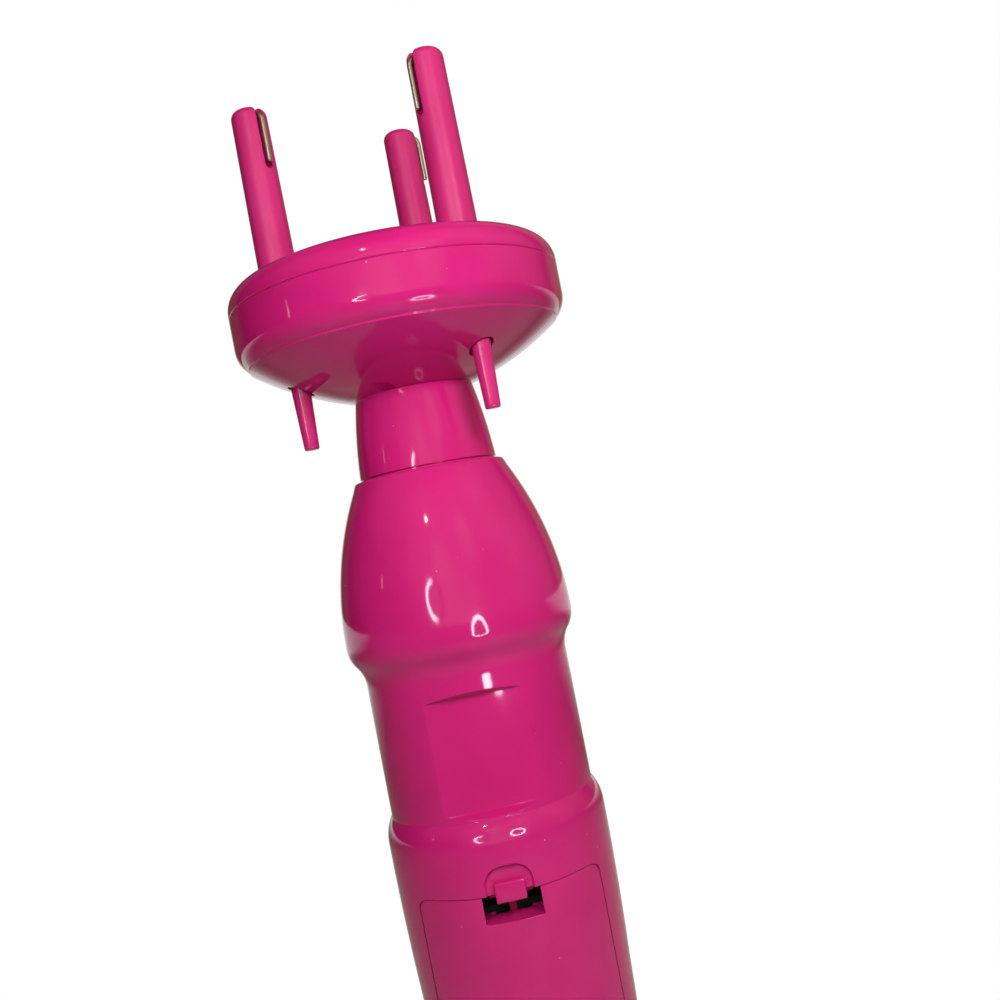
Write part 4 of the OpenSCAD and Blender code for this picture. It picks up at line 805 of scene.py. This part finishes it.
CELL_AT, CELL_LOW, CELL_HIGH = 7.4, 22.5, 72.7
low, high = (c.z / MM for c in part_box("contact_springs"))
cones = []
for x in (-CELL_AT, CELL_AT):
    for y in (-CELL_AT, CELL_AT):
        wide, thin = 4.55, 3.15
        if (x < 0) == (y < 0):
            cones.append(coil("contact_cones", 0.34, (wide, low), (thin, CELL_LOW), 3, (x, y)))
        else:
            cones.append(coil("contact_cones", 0.34, (thin, CELL_HIGH), (wide, high), 3, (x, y)))
bpy.ops.object.select_all(action="DESELECT")
for cone in cones:
    cone.select_set(True)
bpy.context.view_layer.objects.active = cones[0]
bpy.ops.object.join()
finished(cones[0], spring_steel, "handle", "steel", "contact_springs")

# ---- Drive, battery bay and controls --------------------------------------------------------------
# The turned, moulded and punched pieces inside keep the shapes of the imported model. Each wears its
# own material: zinc-plated steel, brass, ivory acetal, black plastic, cell jackets, board and wires.


def plain_metal(name, dark, light, rough):
    """Plated or turned metal with a soft cloudy sheen."""
    material, surface, place = new_finish(name, Metallic=1.0)
    clouds = place.noise(320, 3)
    edge = place.node("Bevel", {"samples": 4}, {"Radius": 0.15 * MM})
    feed(surface, Base_Color=clouds.between(srgb(*dark), srgb(*light)), Roughness=clouds * 0.16 + rough, Normal=edge)
    return material


def plain_plastic(name, dark, light, rough):
    """Moulded plastic with a faint grain and softened edges."""
    material, surface, place = new_finish(name, IOR=1.48)
    grain = place.noise(1800, 2)
    edge = place.node("Bevel", {"samples": 4}, {"Radius": 0.2 * MM})
    relief = place.node("Bump", None, {"Strength": 0.2, "Distance": 0.02 * MM, "Height": grain, "Normal": edge})
    feed(surface, Base_Color=place.noise(70).over(0.3, 0.7).between(srgb(*dark), srgb(*light)), Normal=relief,
         Roughness=(grain * 0.14) + rough)
    return material


def cell_jacket():
    """Dark cells with a copper-coloured band at one end and bare steel ends."""
    material, surface, place = new_finish("cell jacket", IOR=1.5)
    z = place.node("SeparateXYZ", None, {"Vector": place}, 2)
    ends = 1 - z.over(0.0234, 0.0236) + z.over(0.0716, 0.0718)
    band = z.over(0.0578, 0.058)
    scuffs = place.noise(240, 3)
    jacket = band.between(srgb(34, 34, 38), srgb(176, 106, 62))
    feed(surface, Base_Color=ends.between(jacket, srgb(190, 190, 196)), Metallic=ends * 0.9 + band * 0.3,
         Roughness=scuffs * 0.2 + 0.22)
    return material


def board_green():
    """Green solder mask over a fine glass weave."""
    material, surface, place = new_finish("circuit board", IOR=1.5)
    weave = place.node("TexWave", {"wave_type": "BANDS", "bands_direction": "Z"}, {"Vector": place, "Scale": 900.0}, 1)
    feed(surface, Base_Color=weave.between(srgb(20, 84, 48), srgb(28, 98, 58)), Roughness=place.noise(300) * 0.2 + 0.25)
    return material


def wire_cover():
    """Vinyl-covered leads: red on the right, black on the left."""
    material, surface, place = new_finish("wire cover", IOR=1.5)
    side = place.node("SeparateXYZ", None, {"Vector": place}, 0).over(-0.0001, 0.0001)
    feed(surface, Base_Color=side.between(srgb(26, 26, 28), srgb(186, 24, 26)), Roughness=place.noise(500) * 0.2 + 0.35)
    return material


steel = plain_metal("zinc-plated steel", (168, 170, 174), (196, 197, 200), 0.22)
brass = plain_metal("brass", (192, 156, 84), (212, 178, 104), 0.2)
acetal = plain_plastic("ivory acetal", (228, 222, 206), (238, 233, 219), 0.34)
black = plain_plastic("black plastic", (34, 34, 37), (42, 42, 45), 0.4)
CAD_FINISHES = (
    (steel, "steel", ("shell_screws", "door_pin", "contact_plates", "motor_can", "motor_screws", "motor_shaft",
                      "gearbox_screws", "gear_axle", "drive_shaft", "shaft_clip", "neck_screws")),
    (brass, "brass", ("motor_pinion", "gearbox_bush", "neck_bush")),
    (acetal, "acetal", ("motor_end_cap", "gearbox_base", "gearbox_top", "output_gear", "compound_gear", "neck_bearing",
                        "sun_gear", "finger_gear_1", "finger_gear_2", "finger_gear_3", "twist_nub", "braid_nub")),
    (black, "black_plastic", ("battery_tray", "switch_bodies")),
    (cell_jacket(), "cell_jacket", ("battery_cells",)),
    (board_green(), "board", ("circuit_board",)),
    (wire_cover(), "wire_cover", ("battery_leads", "motor_leads")))
for material, slot, nodes in CAD_FINISHES:
    for name in nodes:
        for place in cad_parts[name].material_slots:
            place.material = material

# ---- Studio ---------------------------------------------------------------------------------------
# A white backdrop and a pale floor with two ring lamps beside the camera, as for a product picture.
# Two bulbs give small highlights, and soft area lamps in front and behind light the object.


def camera():
    data = bpy.data.cameras.new("camera")
    data.sensor_width, data.lens, data.clip_start = 36.0, 38.625, 0.01
    view = bpy.data.objects.new("camera", data)
    bpy.context.collection.objects.link(view)
    yaw, pitch, roll = (math.radians(a) for a in (3.42594, 1.50594, -11.10821))
    view.matrix_world = (Matrix.Translation((0, -0.260428, 0.1625)) @ Matrix.Rotation(-yaw, 4, "Z")
                         @ Matrix.Rotation(math.pi / 2 + pitch, 4, "X") @ Matrix.Rotation(roll, 4, "Z"))
    bpy.context.scene.camera = view


camera()


def toward(azimuth, elevation):
    """Direction as the object sees it: azimuth 0 is the camera's side and 90 its right."""
    a, e = math.radians(azimuth), math.radians(elevation)
    return Vector((math.sin(a) * math.cos(e), -math.cos(a) * math.cos(e), math.sin(e)))


def glowing(name, colour, strength):
    material = bpy.data.materials.new(name)
    material.use_nodes = True
    surface = material.node_tree.nodes["Principled BSDF"]
    surface.inputs["Base Color"].default_value = (0, 0, 0, 1)
    surface.inputs["Emission Color"].default_value = (*colour, 1)
    surface.inputs["Emission Strength"].default_value = strength
    return material


def lamp(piece, name, centre, material):
    """Hangs a glowing shape at its place, facing the object; the camera doesn't see it."""
    piece.name = name
    piece.location = centre
    piece.rotation_euler = (Vector((0, 0, 0.16)) - Vector(centre)).to_track_quat("Z", "Y").to_euler()
    piece.data.materials.append(material)
    piece.visible_camera = False


# Name, centre, radius, tube, strength, and how far along its own X each starts and ends to light up
RINGS = (("left_ring_lamp", (-0.178, -0.547, 0.234), 0.072, 0.011, 20.0, (-0.016, 0.03)),
         ("right_ring_lamp", (0.0427, -0.14, 0.1276), 0.017, 0.0023, 22.0, (-0.03, -0.02)))
for name, centre, radius, tube, strength, (dark, lit) in RINGS:
    bpy.ops.object.select_all(action="DESELECT")
    bpy.ops.mesh.primitive_torus_add(
        major_radius=radius, minor_radius=tube, major_segments=64, minor_segments=12)
    ring = bpy.context.object
    material = glowing(name, (1.0, 0.98, 0.97), strength)
    surface = material.node_tree.nodes["Principled BSDF"]
    along = Link(material.node_tree.nodes.new("ShaderNodeTexCoord").outputs["Object"])
    along = along.node("SeparateXYZ", None, {"Vector": along}, 0)
    material.node_tree.links.new(
        along.over(dark, lit).between((0, 0, 0, 1), (0.97, 0.97, 1.08, 1)).socket, surface.inputs["Emission Color"])
    lamp(ring, name, centre, material)
    ring.visible_shadow = ring.visible_diffuse = False

BULBS = (("upper_bulb", 0.8, toward(-15.5, 38.3), (0.01, 0.01, 0.01), (1.0, 0.88, 0.78), 260.0),
         ("left_tube", 0.9, toward(-73, 13.8), (0.008, 0.035, 0.008), (1.0, 0.95, 0.9), 5.0))
for name, away, direction, size, colour, strength in BULBS:
    bpy.ops.object.select_all(action="DESELECT")
    bpy.ops.mesh.primitive_ico_sphere_add(radius=1, subdivisions=3, scale=size)
    lamp(bpy.context.object, name, Vector((0, 0, 0.16)) + direction * away, glowing(name, colour, strength))

WARM, PLAIN = (1.0, 0.84, 0.42), (1.0, 0.93, 0.92)
for name, place, watts in (("key", (-0.03, -0.3, 0.27), 0.37), ("key_right", (0.12, -0.25, 0.3), 0.38),
                           ("key_rear", (0.08, 0.4, 0.28), 1.1)):
    data = bpy.data.lights.new(name, "AREA")
    data.shape, data.size, data.energy, data.color = "DISK", 0.1, watts, PLAIN
    soft = bpy.data.objects.new(name, data)
    soft.location = place
    soft.rotation_euler = (Vector(place) - Vector((0, 0, 0.16))).to_track_quat("Z", "Y").to_euler()
    soft.visible_glossy = False
    bpy.context.collection.objects.link(soft)


def tent():
    """A dim warm room with soft lights in it, and the white backdrop behind the object."""
    world = bpy.data.worlds.new("tent")
    bpy.context.scene.world = world
    world.use_nodes = True
    tree = world.node_tree
    way = Link(tree.nodes.new("ShaderNodeTexCoord").outputs["Generated"])
    flat = way.node("VectorMath", {"operation": "MULTIPLY"}, {0: way, 1: (1, 1, 0)})
    band = flat.node("VectorMath", {"operation": "NORMALIZE"}, {0: flat})
    # What it is measured by, direction in degrees, half-widths where it starts and stops to fade, level
    glows = ((way, (-5, 20), 5, 45, 0.42), (way, (0, -15), 5, 40, 0.4), (way, (50, 45), 3, 32, 0.2),
             (way, (85, 40), 5, 38, 0.24), (way, (95, 0), 5, 40, 0.2), (way, (50, 15), 5, 40, 0.22),
             (way, (-60, -22), 5, 38, 0.05), (way, (-60, 45), 5, 38, 0.14), (band, (146, 0), 3, 20, 0.25), (band, (-146, 0), 3, 20, 0.1))
    room = 0
    for measure, aim, inner, outer, level in glows:
        cosine = way.node("VectorMath", {"operation": "DOT_PRODUCT"}, {0: measure, 1: toward(*aim)}, 1)
        fade = way.node("MapRange", {"interpolation_type": "SMOOTHSTEP"}, {
            "Value": cosine, "From Min": math.cos(math.radians(outer)), "From Max": math.cos(math.radians(inner))})
        room = fade * level + room
    depth = way.node("SeparateXYZ", None, {"Vector": way}, 1)
    camera_ray, glossy_ray, glass_ray = (way.node("LightPath", None, None, out) for out in (0, 3, 6))
    white = camera_ray.sum("MAXIMUM", camera_ray, (glossy_ray + glass_ray) * depth.over(0.9, 0.97))
    tree.links.new(white.between(room, 1.0).socket, tree.nodes["Background"].inputs["Strength"])
    tree.links.new(white.between((*WARM, 1), (1, 1, 1, 1)).socket, tree.nodes["Background"].inputs["Color"])


tent()

bpy.ops.object.select_all(action="DESELECT")
bpy.ops.mesh.primitive_plane_add(size=12)
floor = bpy.context.object
floor.name = "floor"


def floor_finish():
    """Pale floor: white to the camera away from the foot, and shaded as usual close to it."""
    material, surface, place = new_finish("floor", Base_Color=(0.6, 0.6, 0.6, 1), Roughness=0.9, Specular_IOR_Level=0.0)
    tree = surface.id_data
    away = place.node("VectorMath", {"operation": "LENGTH"}, {0: place}, 1)
    depth = place.node("SeparateXYZ", None, {"Vector": place}, 1)
    camera_ray, glossy_ray, glass_ray = (place.node("LightPath", None, None, out) for out in (0, 3, 6))
    behind = (glossy_ray + glass_ray) * depth.over(0.4, 1.2)
    white = place.node("Emission", None, {"Color": (1, 1, 1, 1), "Strength": 1.0})
    share = camera_ray * away.over(0.027, 0.06) + behind
    mix = place.node("MixShader", None, {0: share, 1: Link(surface.outputs[0]), 2: white})
    tree.links.new(mix.socket, tree.nodes["Material Output"].inputs["Surface"])
    return material


floor.data.materials.append(floor_finish())

bpy.context.scene.view_settings.view_transform = "Standard"
